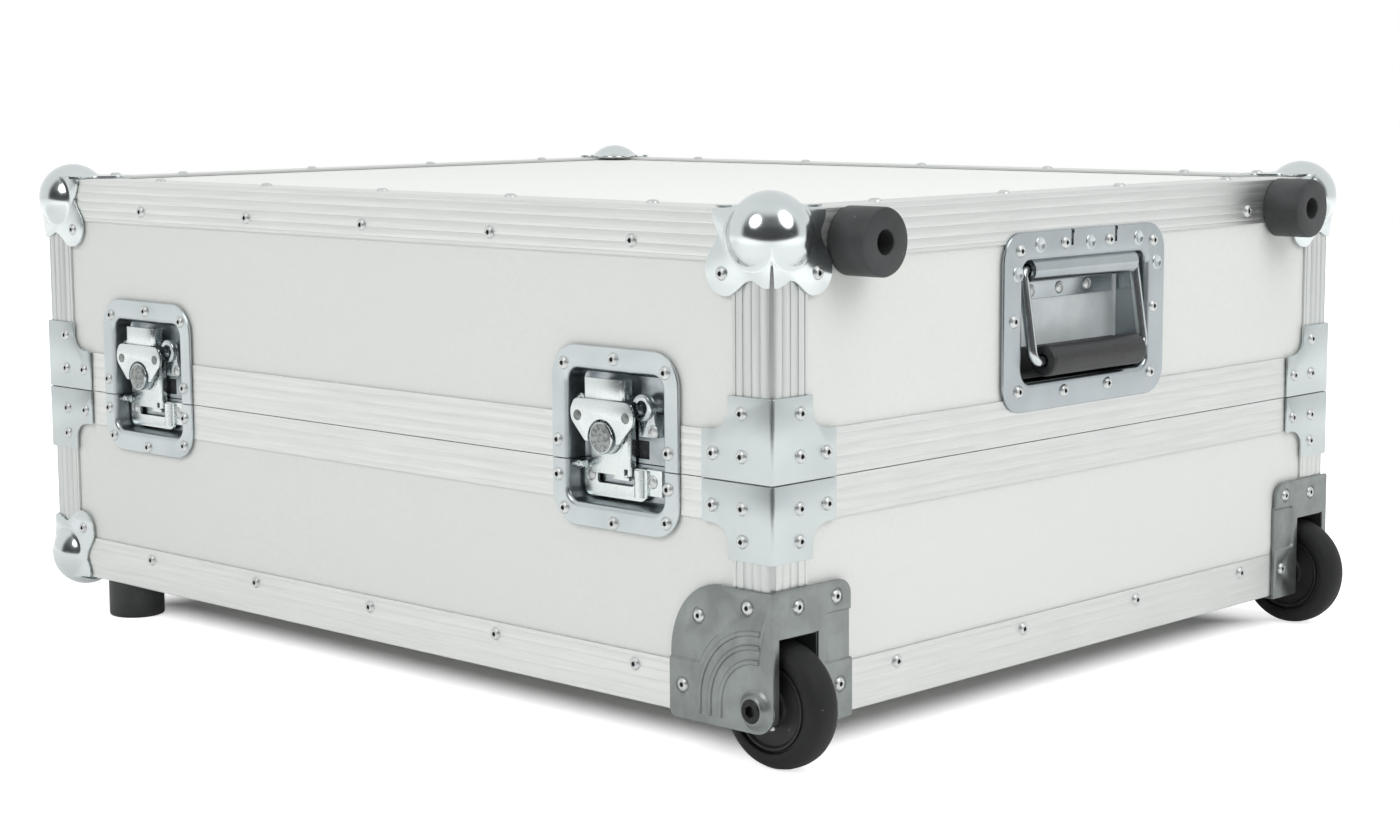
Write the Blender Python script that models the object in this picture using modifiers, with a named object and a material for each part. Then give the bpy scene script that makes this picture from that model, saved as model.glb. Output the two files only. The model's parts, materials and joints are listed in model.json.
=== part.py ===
"""A wheeled flight case for a computer.

Panels of faced plywood stand in aluminium edge extrusions. The lid and the base meet on a tongue and
groove rim, two recessed twist latches pull them together, and a long hinge joins them at the back.
Ball corners, corner braces, two recessed castors, rubber feet and two sprung handles are riveted on.

The frame: +Z up, the ground at z = 0, the latches face -Y and the castors are at the +X end.
Sizes are in millimetres here and become metres where a mesh is made.
"""

import math

import bmesh
import bpy
from mathutils import Matrix, Vector

MM = 0.001

# The case body, without what stands on it
LENGTH = 725.0
DEPTH = 588.0
HEIGHT = 294.0
STAND_OFF = 26.5
JOINT_HEIGHT = 140.0
BODY_CENTRE_X = -6.0

# Panels and extrusions
GAP = 0.3
PANEL = 7.0
SHEET = 1.5
PANEL_INSET = SHEET + GAP
INNER_INSET = PANEL_INSET + PANEL
ANGLE_LEG = 30.0
GROOVES = (3.0, 9.0, 15.5, 22.0, 27.5)
GROOVE_HALF = 0.5
GROOVE_DEPTH = 0.3
LID_RIM_LEG = 28.0
BASE_RIM_LEG = 24.0
RIM_INNER = 10.6
CORNER_TRIM = 3.0

# Ball corners
BALL_RADIUS = 24.5
BALL_INSET = 14.3
BALL_LEG = 43.0

# Corner braces
BRACE_WIDTH = 30.0
BRACE_ARM = 53.0
LID_BRACE = 49.0
BASE_BRACE = 45.0

# Castors
WHEEL_RADIUS = 37.5
WHEEL_FACES = (7.0, 31.0)
AXLE_INSET = 11.0
AXLE_RADIUS = 6.0
WELL = 53.0
WELL_DEPTH = 38.0
BRACKET = 79.0
BRACKET_SIDE = 66.0

# Feet
FOOT_RADIUS = 20.0
FOOT_BORE = 7.2
LID_FOOT_Y = 66.5
LID_FOOT_Z = 274.0
BASE_FOOT_X = 70.0
BASE_FOOT_Y = 20.5

# Latches, with heights from the joint line
LATCH_FROM_END = 124.4
LATCH_CENTRE = 15.0
LATCH_FLANGE = (53.0, 54.5)
LATCH_OPENING = 40.0
LATCH_DEPTH = 13.0
STUD = (-11.1, 15.0)
STUD_RADIUS = 9.8
ECCENTRIC = 1.5
WING_PIVOT = 2.6

# Handles, with heights from the body's bottom
HANDLE_FLANGE = (86.0, 55.75)
HANDLE_OPENING = (66.3, 37.5)
HANDLE_CENTRE = 215.0
HANDLE_DEPTH = 22.0
BAIL_PIVOT = (-4.5, 246.5)
BAIL_GRIP = (4.5, 190.5)
BAIL_HALF = 59.3
WIRE_RADIUS = 3.5
GRIP_RADIUS = 10.0
GRIP_HALF = 50.0

# Hinge
HINGE_OUT = 5.4
KNUCKLE_RADIUS = 4.8
HINGE_HALF = 240.0
KNUCKLES = 9

# Foam
FOAM_INSET = 11.2
FOAM_WALL = 42.0
BASE_FOAM_FLOOR = 30.0
LID_FOAM_ROOF = 30.0

# Planes of the body
LEFT = BODY_CENTRE_X - LENGTH / 2
RIGHT = BODY_CENTRE_X + LENGTH / 2
FRONT = -DEPTH / 2
BACK = DEPTH / 2
BOTTOM = STAND_OFF
TOP = STAND_OFF + HEIGHT
JOINT = STAND_OFF + JOINT_HEIGHT
LATCH_X = {"left": LEFT + LATCH_FROM_END, "right": RIGHT - LATCH_FROM_END}
HINGE_Y = BACK + HINGE_OUT

# How a flat outline's two axes and its normal lie
PLANES = {
    "xy": Matrix.Identity(4),
    "xz": Matrix(((1, 0, 0, 0), (0, 0, 1, 0), (0, 1, 0, 0), (0, 0, 0, 1))),
    "yz": Matrix(((0, 0, 1, 0), (1, 0, 0, 0), (0, 1, 0, 0), (0, 0, 0, 1))),
}


def clear_scene():
    for obj in list(bpy.data.objects):
        bpy.data.objects.remove(obj, do_unlink=True)
    for collection in list(bpy.data.collections):
        bpy.data.collections.remove(collection)


clear_scene()
PARTS = bpy.data.collections.new("computer_flight_case")
WORKSHOP = bpy.data.collections.new("workshop")
bpy.context.scene.collection.children.link(PARTS)
bpy.context.scene.collection.children.link(WORKSHOP)


def make_material(name, colour, roughness, metallic):
    material = bpy.data.materials.new(name)
    material.use_nodes = True
    shader = material.node_tree.nodes["Principled BSDF"]
    shader.inputs["Base Color"].default_value = (*colour, 1.0)
    shader.inputs["Roughness"].default_value = roughness
    shader.inputs["Metallic"].default_value = metallic
    material.diffuse_color = (*colour, 1.0)
    return material


FACED_PLY = make_material("faced_plywood", (0.70, 0.71, 0.67), 0.45, 0.0)
ALUMINIUM = make_material("brushed_aluminium", (0.72, 0.73, 0.72), 0.35, 1.0)
ZINC = make_material("zinc_plated_steel", (0.75, 0.76, 0.76), 0.28, 1.0)
CHROME = make_material("chromed_steel", (0.80, 0.81, 0.82), 0.15, 1.0)
DULL_ZINC = make_material("dull_zinc_steel", (0.42, 0.43, 0.42), 0.5, 1.0)
RUBBER = make_material("black_rubber", (0.02, 0.02, 0.02), 0.6, 0.0)
GRIP_PLASTIC = make_material("grip_plastic", (0.025, 0.025, 0.03), 0.45, 0.0)
FOAM = make_material("grey_foam", (0.10, 0.10, 0.11), 0.9, 0.0)


# Tools that make one closed shape

def shape(bm):
    """Turns a bmesh into a workshop object whose faces point out."""
    bmesh.ops.recalc_face_normals(bm, faces=bm.faces)
    mesh = bpy.data.meshes.new("shape")
    bm.to_mesh(mesh)
    bm.free()
    obj = bpy.data.objects.new("shape", mesh)
    WORKSHOP.objects.link(obj)
    return obj


def evaluated_mesh(obj):
    bpy.context.view_layer.update()
    graph = bpy.context.evaluated_depsgraph_get()
    return bpy.data.meshes.new_from_object(obj.evaluated_get(graph))


def welded(mesh, matrix=None):
    """A workshop object from a mesh, with its loose caps welded on."""
    bm = bmesh.new()
    bm.from_mesh(mesh)
    bpy.data.meshes.remove(mesh)
    bmesh.ops.remove_doubles(bm, verts=bm.verts, dist=0.000002)
    bmesh.ops.dissolve_degenerate(bm, edges=bm.edges, dist=0.000002)
    if matrix is not None:
        bmesh.ops.transform(bm, matrix=matrix, verts=bm.verts)
    return shape(bm)


def discard(obj):
    data = obj.data
    bpy.data.objects.remove(obj, do_unlink=True)
    if isinstance(data, bpy.types.Mesh):
        bpy.data.meshes.remove(data)
    else:
        bpy.data.curves.remove(data)


def combine(base, tools, operation):
    """Joins or cuts the base with each tool, and keeps the result as a plain mesh."""
    for tool in tools:
        modifier = base.modifiers.new(operation.lower(), "BOOLEAN")
        modifier.operation = operation
        modifier.solver = "EXACT"
        modifier.object = tool
    result = flattened(welded(evaluated_mesh(base)))
    for used in (base, *tools):
        discard(used)
    return result


def flattened(obj):
    """Merges the faces that a join left lying in one plane."""
    bm = bmesh.new()
    bm.from_mesh(obj.data)
    bmesh.ops.dissolve_limit(bm, angle_limit=math.radians(0.2), verts=bm.verts, edges=bm.edges)
    bm.to_mesh(obj.data)
    bm.free()
    return obj


def fuse(base, *tools):
    return combine(base, tools, "UNION")


def cut(base, *tools):
    return combine(base, tools, "DIFFERENCE")


def block(low, high, bevel=0.0):
    bm = bmesh.new()
    bmesh.ops.create_cube(bm, size=1.0)
    low = Vector(low) * MM
    high = Vector(high) * MM
    bmesh.ops.scale(bm, vec=high - low, verts=bm.verts)
    bmesh.ops.translate(bm, vec=(low + high) / 2, verts=bm.verts)
    if bevel:
        bmesh.ops.bevel(bm, geom=bm.edges[:], offset=bevel * MM, segments=1, affect="EDGES")
    return shape(bm)


def rod(start, end, radius, sides=24):
    start = Vector(start) * MM
    end = Vector(end) * MM
    run = end - start
    turn = run.to_track_quat("Z", "Y").to_matrix().to_4x4()
    bm = bmesh.new()
    bmesh.ops.create_cone(
        bm,
        cap_ends=True,
        segments=sides,
        radius1=radius * MM,
        radius2=radius * MM,
        depth=run.length,
        matrix=Matrix.Translation((start + end) / 2) @ turn,
    )
    return shape(bm)


def hull(points):
    bm = bmesh.new()
    for point in points:
        bm.verts.new(Vector(point) * MM)
    bmesh.ops.convex_hull(bm, input=bm.verts)
    return shape(bm)


def plate(outlines, plane, low, high):
    """Extrudes a flat outline, and any holes listed after it, along the plane's normal."""
    curve = bpy.data.curves.new("outline", "CURVE")
    curve.dimensions = "2D"
    curve.fill_mode = "BOTH"
    curve.extrude = (high - low) / 2 * MM
    for outline in outlines:
        spline = curve.splines.new("POLY")
        spline.points.add(len(outline) - 1)
        for point, (u, v) in zip(spline.points, outline):
            point.co = (u * MM, v * MM, 0.0, 1.0)
        spline.use_cyclic_u = True
    guide = bpy.data.objects.new("outline", curve)
    WORKSHOP.objects.link(guide)
    middle = Matrix.Translation((0.0, 0.0, (low + high) / 2 * MM))
    result = flattened(welded(evaluated_mesh(guide), PLANES[plane] @ middle))
    discard(guide)
    return result


def tube(points, radius, resolution=1):
    """A round wire through the points, with closed ends."""
    curve = bpy.data.curves.new("wire", "CURVE")
    curve.dimensions = "3D"
    curve.bevel_depth = radius * MM
    curve.bevel_resolution = resolution
    curve.use_fill_caps = True
    spline = curve.splines.new("POLY")
    spline.points.add(len(points) - 1)
    for point, place in zip(spline.points, points):
        point.co = (*(Vector(place) * MM), 1.0)
    guide = bpy.data.objects.new("wire", curve)
    WORKSHOP.objects.link(guide)
    result = welded(evaluated_mesh(guide))
    discard(guide)
    return result


def turned(profile, matrix, steps, closed=True):
    """Turns a (radius, height) profile about Z, then sets it in place with the matrix."""
    bm = bmesh.new()
    points = [bm.verts.new((radius * MM, 0.0, height * MM)) for radius, height in profile]
    pairs = list(zip(points, points[1:]))
    if closed:
        pairs.append((points[-1], points[0]))
    for pair in pairs:
        bm.edges.new(pair)
    mesh = bpy.data.meshes.new("profile")
    bm.to_mesh(mesh)
    bm.free()
    guide = bpy.data.objects.new("profile", mesh)
    WORKSHOP.objects.link(guide)
    screw = guide.modifiers.new("turn", "SCREW")
    screw.axis = "Z"
    screw.angle = math.tau
    screw.steps = steps
    screw.render_steps = steps
    screw.use_merge_vertices = True
    screw.merge_threshold = 0.00001
    result = welded(evaluated_mesh(guide), matrix)
    discard(guide)
    return result


def loft(rings):
    """Skins rings of equal length one after another and caps both ends."""
    bm = bmesh.new()
    rows = [[bm.verts.new(Vector(point) * MM) for point in ring] for ring in rings]
    count = len(rows[0])
    for row, following in zip(rows, rows[1:]):
        for index in range(count):
            after = (index + 1) % count
            bm.faces.new((row[index], row[after], following[after], following[index]))
    bm.faces.new(rows[0])
    bm.faces.new(rows[-1])
    return shape(bm)


def mitred_ring(profile):
    """Sweeps a closed (inset, height) profile round the body with mitred corners."""
    bm = bmesh.new()
    rows = []
    for inset, height in profile:
        near, far = FRONT + inset, BACK - inset
        left, right = LEFT + inset, RIGHT - inset
        corners = ((left, near), (right, near), (right, far), (left, far))
        rows.append([bm.verts.new(Vector((x, y, height)) * MM) for x, y in corners])
    for row, following in zip(rows, rows[1:] + rows[:1]):
        for index in range(4):
            after = (index + 1) % 4
            bm.faces.new((row[index], row[after], following[after], following[index]))
    return shape(bm)


def half_of(obj, height, keep_above):
    """Cuts a closed shape on a level plane and caps what stays."""
    bm = bmesh.new()
    bm.from_mesh(obj.data)
    result = bmesh.ops.bisect_plane(
        bm,
        geom=bm.verts[:] + bm.edges[:] + bm.faces[:],
        plane_co=(0.0, 0.0, height * MM),
        plane_no=(0.0, 0.0, 1.0),
        clear_inner=keep_above,
        clear_outer=not keep_above,
    )
    rim = [item for item in result["geom_cut"] if isinstance(item, bmesh.types.BMEdge)]
    bmesh.ops.edgeloop_fill(bm, edges=rim)
    return shape(bm)


# Tools that finish a piece

def finish(obj, name, material, origin=(0.0, 0.0, 0.0)):
    """Names a piece, moves its origin to a point and puts it among the parts."""
    point = Vector(origin) * MM
    obj.data.transform(Matrix.Translation(-point))
    obj.location = point
    obj.name = name
    obj.data.name = name
    obj.data.materials.clear()
    obj.data.materials.append(material)
    obj.data.shade_smooth()
    obj.data.set_sharp_from_angle(angle=math.radians(32.0))
    WORKSHOP.objects.unlink(obj)
    PARTS.objects.link(obj)
    return obj


def repeat(source, name, location, scale=(1.0, 1.0, 1.0), rotation=(0.0, 0.0, 0.0)):
    """Another piece on the same mesh, perhaps mirrored by its scale."""
    obj = bpy.data.objects.new(name, source.data)
    obj.location = Vector(location) * MM
    obj.scale = scale
    obj.rotation_euler = rotation
    PARTS.objects.link(obj)
    return obj


def rounded_rectangle(half_u, half_v, radius, segments=3, centre=(0.0, 0.0)):
    points = []
    quarters = ((1, 1, 0), (-1, 1, 90), (-1, -1, 180), (1, -1, 270))
    for side_u, side_v, start in quarters:
        middle_u = centre[0] + side_u * (half_u - radius)
        middle_v = centre[1] + side_v * (half_v - radius)
        for step in range(segments + 1):
            angle = math.radians(start + 90.0 * step / segments)
            points.append((middle_u + radius * math.cos(angle), middle_v + radius * math.sin(angle)))
    return points


def arc(centre, radius, start, end, steps):
    """Points on an arc, from one angle to another in degrees."""
    points = []
    for step in range(steps + 1):
        angle = math.radians(start + (end - start) * step / steps)
        points.append((centre[0] + radius * math.cos(angle), centre[1] + radius * math.sin(angle)))
    return points


# Panels

def base_panels():
    low, high = BOTTOM + INNER_INSET + GAP, JOINT - 2.8
    outer, inner, side = PANEL_INSET, INNER_INSET, INNER_INSET + GAP
    floor = block((LEFT + outer, FRONT + outer, BOTTOM + outer), (RIGHT - outer, BACK - outer, BOTTOM + inner))
    finish(cut(floor, *wells()), "base_panel_bottom", FACED_PLY)
    front = block((LEFT + outer, FRONT + outer, low), (RIGHT - outer, FRONT + inner, high))
    finish(cut(front, well("front"), *latch_notches()), "base_panel_front", FACED_PLY)
    back = block((LEFT + outer, BACK - inner, low), (RIGHT - outer, BACK - outer, high))
    finish(cut(back, well("back")), "base_panel_back", FACED_PLY)
    left = block((LEFT + outer, FRONT + side, low), (LEFT + inner, BACK - side, high))
    finish(left, "base_panel_left", FACED_PLY)
    right = block((RIGHT - inner, FRONT + side, low), (RIGHT - outer, BACK - side, high))
    finish(cut(right, *wells()), "base_panel_right", FACED_PLY)


def lid_panels():
    low, high = JOINT + 7.3, TOP - INNER_INSET - GAP
    outer, inner, side = PANEL_INSET, INNER_INSET, INNER_INSET + GAP
    roof = block((LEFT + outer, FRONT + outer, TOP - inner), (RIGHT - outer, BACK - outer, TOP - outer))
    finish(roof, "lid_panel_top", FACED_PLY)
    front = block((LEFT + outer, FRONT + outer, low), (RIGHT - outer, FRONT + inner, high))
    finish(cut(front, *latch_notches()), "lid_panel_front", FACED_PLY)
    back = block((LEFT + outer, BACK - inner, low), (RIGHT - outer, BACK - outer, high))
    finish(back, "lid_panel_back", FACED_PLY)
    left = block((LEFT + outer, FRONT + side, low), (LEFT + inner, BACK - side, high))
    finish(cut(left, handle_window(LEFT)), "lid_panel_left", FACED_PLY)
    right = block((RIGHT - inner, FRONT + side, low), (RIGHT - outer, BACK - side, high))
    finish(cut(right, handle_window(RIGHT)), "lid_panel_right", FACED_PLY)


def well(face, skin=-5.0):
    """The notch that a castor's housing fills, leaving a skin of the given depth at the face."""
    reach, depth = WELL + 0.4, WELL_DEPTH + 0.4
    y0, y1 = (FRONT + skin, FRONT + depth) if face == "front" else (BACK - depth, BACK - skin)
    return block((RIGHT - reach, y0, BOTTOM - 5), (RIGHT + 5, y1, BOTTOM + reach + 0.6))


def wells(skin=-5.0):
    return well("front", skin), well("back", skin)


def latch_notches(depth=12.0, margin=2.0):
    half = LATCH_OPENING + margin
    middle = JOINT + LATCH_CENTRE
    return [
        block((x - half, FRONT - 5, middle - half), (x + half, FRONT + depth, middle + half))
        for x in LATCH_X.values()
    ]


def handle_window(plane, reach=12.0, margin=2.0):
    half_y, half_z = HANDLE_OPENING[0] + margin, HANDLE_OPENING[1] + margin
    middle = BOTTOM + HANDLE_CENTRE
    return block((plane - reach, -half_y, middle - half_z), (plane + reach, half_y, middle + half_z))


# Extrusions

def angle_outline():
    """The ribbed angle's section, each groove a little deeper than the one before it."""
    first = [(0.8, 0.0)]
    second = [(0.0, 0.8)]
    for index, groove in enumerate(GROOVES):
        depth = GROOVE_DEPTH + 0.01 * index**2
        first += [(groove - GROOVE_HALF, 0.0), (groove, depth), (groove + GROOVE_HALF, 0.0)]
        second += [(0.0, groove - GROOVE_HALF), (depth, groove), (0.0, groove + GROOVE_HALF)]
    inside = [(ANGLE_LEG, 0.0), (ANGLE_LEG, SHEET), (SHEET, SHEET), (SHEET, ANGLE_LEG), (0.0, ANGLE_LEG)]
    return first + inside + second[::-1]


def corners():
    return [(x, y) for x in (LEFT, RIGHT) for y in (FRONT, BACK)]


def corner_section(corner, outline, low, high):
    """An upright bar on a section that starts at one of the body's vertical edges."""
    side_x = 1.0 if corner[0] < BODY_CENTRE_X else -1.0
    side_y = 1.0 if corner[1] < 0.0 else -1.0
    return plate([[(corner[0] + side_x * p, corner[1] + side_y * q) for p, q in outline]], "xy", low, high)


def uprights(low, high, seam):
    """The four standing angles, and the tenons that hold them to the ring at the seam."""
    tongue = [(0.6, 0.6), (25.0, 0.6), (25.0, 1.2), (1.2, 1.2), (1.2, 25.0), (0.6, 25.0)]
    angles = [corner_section(corner, angle_outline(), low, high) for corner in corners()]
    tenons = [corner_section(corner, tongue, seam - 4.0, seam + 4.0) for corner in corners()]
    return angles + tenons


def corner_trims(level, up):
    """Small tips cut from the frame's corners, which the ball corners cover."""
    trims = []
    for x, into_x in ((LEFT, 1.0), (RIGHT, -1.0)):
        for y, into_y in ((FRONT, 1.0), (BACK, -1.0)):
            far = CORNER_TRIM + 4.0
            local = ((-2, -2, -2), (far, -2, -2), (-2, far, -2), (-2, -2, far))
            trims.append(hull([(x + into_x * u, y + into_y * v, level + up * w) for u, v, w in local]))
    return trims


def lid_edge_frame():
    ring = mitred_ring([(p, TOP - q) for p, q in angle_outline()])
    seam = TOP - ANGLE_LEG
    frame = fuse(ring, *uprights(JOINT + LID_RIM_LEG + GAP, seam - GAP, seam))
    finish(cut(frame, *corner_trims(TOP, -1.0)), "lid_edge_frame", ALUMINIUM)


def base_edge_frame():
    ring = mitred_ring([(p, BOTTOM + q) for p, q in angle_outline()])
    seam = BOTTOM + ANGLE_LEG
    frame = fuse(ring, *uprights(seam + GAP, JOINT - BASE_RIM_LEG - GAP, seam))
    skin = SHEET + 0.4
    right_run = block((RIGHT - 31, FRONT + skin, BOTTOM - 5), (RIGHT + 5, BACK - skin, BOTTOM + 31))
    axle_holes = [
        rod((RIGHT - AXLE_INSET, y - 8, BOTTOM + AXLE_INSET), (RIGHT - AXLE_INSET, y + 8, BOTTOM + AXLE_INSET), 9.6)
        for y in (FRONT, BACK)
    ]
    frame = cut(frame, right_run, *wells(skin), *axle_holes, *corner_trims(BOTTOM, 1.0))
    finish(frame, "base_edge_frame", ALUMINIUM)
    start, end = FRONT + WELL_DEPTH + 0.7, BACK - WELL_DEPTH - 0.7
    outline = [(RIGHT - p, BOTTOM + q) for p, q in angle_outline()]
    finish(plate([outline], "xz", start, end), "base_edge_right", ALUMINIUM)


def lid_rim_outline():
    """The grooved rim: an outer leg, a land over the panel's edge and the groove between them."""
    grooves = []
    for height in (4.0, 11.0, 18.0, 24.5):
        grooves += [(0.0, height - GROOVE_HALF), (GROOVE_DEPTH, height), (0.0, height + GROOVE_HALF)]
    inner = RIM_INNER
    land = [(0.0, LID_RIM_LEG), (SHEET, LID_RIM_LEG), (SHEET, 7.0), (inner - SHEET, 7.0), (inner - SHEET, 14.0)]
    groove = [(inner, 14.0), (inner, 0.25), (7.0, 0.25), (7.0, 5.5), (3.0, 5.5), (3.0, 0.25), (0.0, 0.25)]
    return grooves + land + groove


def base_rim_outline():
    """The tongued rim, with the tongue standing above the joint line."""
    grooves = []
    for height in (-20.5, -14.0, -7.5):
        grooves += [(0.0, height - GROOVE_HALF), (GROOVE_DEPTH, height), (0.0, height + GROOVE_HALF)]
    inner = RIM_INNER
    tongue = [(0.0, -0.25), (4.0, -0.25), (4.3, 4.2), (5.7, 4.2), (6.0, -0.25), (inner, -0.25)]
    land = [(inner, -12.0), (inner - SHEET, -12.0), (inner - SHEET, -2.5), (SHEET, -2.5)]
    return grooves + tongue + land + [(SHEET, -BASE_RIM_LEG), (0.0, -BASE_RIM_LEG)]


def rim(name, outline):
    """A rim runs round the body, and its front run between the latches is a length of its own."""
    ring = mitred_ring([(inset, JOINT + height) for inset, height in outline])
    reach = LATCH_OPENING + 2.0
    gap = block(
        (LATCH_X["left"] - reach, FRONT - 5, JOINT - 60),
        (LATCH_X["right"] + reach, FRONT + 12, JOINT + 60),
    )
    finish(cut(ring, gap), name, ALUMINIUM)
    section = [(FRONT + inset, JOINT + height) for inset, height in outline]
    run = plate([section], "yz", LATCH_X["left"] + reach, LATCH_X["right"] - reach)
    finish(run, name + "_front", ALUMINIUM)


# Ball corners, in axes that run from the body's corner along its three edges

def ball_wing_outline():
    """One face of a ball corner: a leg along each edge and a rounded lobe between them."""
    half = [(-1.8, -1.8), (BALL_LEG, -1.8), (BALL_LEG + 0.5, 4.0), (BALL_LEG - 1.5, 9.0)]
    half += [(39.5, 13.0), (42.0, 20.0), (48.0, 28.5), (50.0, 36.0), (46.0, 46.0)]
    return half + [(q, p) for p, q in half[:0:-1]]


def ball_corner_mesh():
    outline = ball_wing_outline()
    wings = [plate([outline], plane, -1.8, -GAP) for plane in PLANES]
    bm = bmesh.new()
    middle = Matrix.Translation(Vector((BALL_INSET, BALL_INSET, BALL_INSET)) * MM)
    bmesh.ops.create_uvsphere(bm, u_segments=16, v_segments=12, radius=BALL_RADIUS * MM, matrix=middle)
    corner = fuse(shape(bm), *wings)
    tip, far = CORNER_TRIM - 0.4 + 2 * GAP, 80.0
    tips = [(tip, -GAP, -GAP), (-GAP, tip, -GAP), (-GAP, -GAP, tip)]
    box = [(x, y, z) for x in (-GAP, far) for y in (-GAP, far) for z in (-GAP, far)][1:]
    pocket = hull(tips + box)
    return cut(corner, pocket, *[edge_slit(axis) for axis in range(3)])


def edge_slit(axis):
    """A wedge that splits the two legs along one edge, wider toward their ends."""
    flat = [(0.6, 0.6, 27.0), (-5.0, -5.0, 27.0), (5.0, -4.0, 48.0), (-4.0, 5.0, 48.0), (-5.0, -5.0, 48.0)]
    return hull([point[-axis:] + point[:-axis] if axis else point for point in flat])


def ball_corners():
    source = None
    places = [("lid", x, y, TOP, -1.0) for x in ("left", "right") for y in ("front", "back")]
    places += [("base", "left", y, BOTTOM, 1.0) for y in ("front", "back")]
    for body, side, face, level, into_z in places:
        x, into_x = (LEFT, 1.0) if side == "left" else (RIGHT, -1.0)
        y, into_y = (FRONT, 1.0) if face == "front" else (BACK, -1.0)
        name = f"{body}_ball_corner_{face}_{side}"
        if source is None:
            source = finish(ball_corner_mesh(), name, CHROME)
            source.location = Vector((x, y, level)) * MM
            source.scale = (into_x, into_y, into_z)
        else:
            repeat(source, name, (x, y, level), (into_x, into_y, into_z))


# Corner braces, in axes that run inward from the corner and away from the joint line

def brace_mesh(leg, arm_height):
    """Two L plates round a vertical edge, each with a gusset pressed down to the panel."""
    width, arm = BRACE_WIDTH, BRACE_ARM
    flat = [(-1.8, GAP), (arm, GAP), (arm, arm_height), (width + 1, arm_height), (width + 1, leg), (-1.8, leg)]
    rise = arm_height - 0.6
    gusset = [(width + 0.4, rise), (arm, rise), (arm, rise + 1), (width + 1, leg - 0.6), (width + 0.4, leg - 0.6)]
    pieces = []
    for plane in ("xz", "yz"):
        pieces.append(plate([flat], plane, -1.8, -GAP))
        pieces.append(plate([gusset], plane, -0.9, 1.3))
    return fuse(*pieces)


def braces():
    for body, leg, arm_height, away in (("lid", LID_BRACE, 29.0, 1.0), ("base", BASE_BRACE, 25.0, -1.0)):
        source = None
        for side, x, into_x in (("left", LEFT, 1.0), ("right", RIGHT, -1.0)):
            for face, y, into_y in (("front", FRONT, 1.0), ("back", BACK, -1.0)):
                name = f"{body}_brace_{face}_{side}"
                if source is None:
                    source = finish(brace_mesh(leg, arm_height), name, ZINC)
                    source.location = Vector((x, y, JOINT)) * MM
                    source.scale = (into_x, into_y, away)
                else:
                    repeat(source, name, (x, y, JOINT), (into_x, into_y, away))


# Castors, in axes that run inward from the body's bottom corner

def bracket_front_outline():
    boss = arc((AXLE_INSET, AXLE_INSET), 14.0, 270.0, 194.0, 5)
    shoulder = [(41.0 + 38.0 * math.sin(t), 35.0 + 44.0 * math.cos(t)) for t in (i * math.pi / 14 for i in range(8))]
    return boss + [(-2.6, 14.0), (-2.6, BRACKET)] + shoulder + [(BRACKET, 0.0), (BRACKET - 3.0, -3.0)]


def pressed_field(grow):
    """The part of the front plate beyond the edge angle, bounded by an arc about the axle."""
    radius, low, side = 50.0 - grow, 33.0 - grow, 41.4 - grow
    start = math.degrees(math.asin((low - AXLE_INSET) / radius))
    end = math.degrees(math.acos((side - AXLE_INSET) / radius))
    return [(90.0, low)] + arc((AXLE_INSET, AXLE_INSET), radius, start, end, 4) + [(side, 90.0), (90.0, 90.0)]


def bracket_front():
    """The front plate, with the field beyond the edge angle pressed back to the panel."""
    outline = bracket_front_outline()
    sheet = cut(plate([outline], "xz", -2.3, -GAP), plate([pressed_field(0.0)], "xz", -5.0, 5.0))
    field = plate([outline], "xz", -0.9, 1.2)
    field = combine(field, [plate([pressed_field(0.8)], "xz", -5.0, 5.0)], "INTERSECT")
    return fuse(sheet, field)


def bracket_side():
    """The end plate, open round the wheel, with its own pressed field."""
    top = BRACKET + 1.0
    low, high, roof = 4.0, 36.6, WELL - 0.2
    outer = [(-1.9, -1.9), (low, -1.9), (low, roof), (high, roof), (high, -1.9), (BRACKET_SIDE, -1.9)]
    outer += [(BRACKET_SIDE, top - 20.0)]
    outer += arc((BRACKET_SIDE - 20.0, top - 20.0), 20.0, 18.0, 90.0, 4) + [(-1.9, top)]
    field = [(40.0, 31.5), (80.0, 31.5), (80.0, 62.0), (40.0, 62.0)]
    backing = [(39.2, 30.7), (BRACKET_SIDE, 30.7), (BRACKET_SIDE, 62.8), (39.2, 62.8)]
    sheet = cut(plate([outer], "yz", -2.3, -GAP), plate([field], "yz", -5.0, 5.0))
    return fuse(sheet, plate([backing], "yz", -0.9, 1.2))


def bracket_floor():
    outer = [(-1.9, -1.9), (BRACKET - 0.5, -1.9), (BRACKET - 0.5, BRACKET_SIDE - 12.0)]
    outer += [(BRACKET - 12.0, BRACKET_SIDE - 0.5), (-1.9, BRACKET_SIDE - 0.5), (-1.9, 36.6)]
    outer += [(WELL - 0.9, 36.6), (WELL - 0.9, 4.0), (-1.9, 4.0)]
    return plate([outer], "xy", -2.1, -GAP - 0.1)


def bracket_housing():
    """The box that the wheel turns in, open to the end and below, and its tabs to the front plate."""
    deep, reach = WELL_DEPTH, WELL
    box = block((-1.0, 2.2, -1.0), (reach, deep, reach + 0.5))
    room = block((-8.0, -4.0, -8.0), (reach - 1.5, deep - 2.0, reach - 1.0))
    roof_tab = block((43.0, -0.1, reach - 0.7), (reach - 0.4, 3.0, reach + 0.2))
    end_tab = block((reach - 1.2, -0.6, 30.6), (reach - 0.3, 3.0, 40.0))
    return cut(box, room), roof_tab, end_tab


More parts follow.
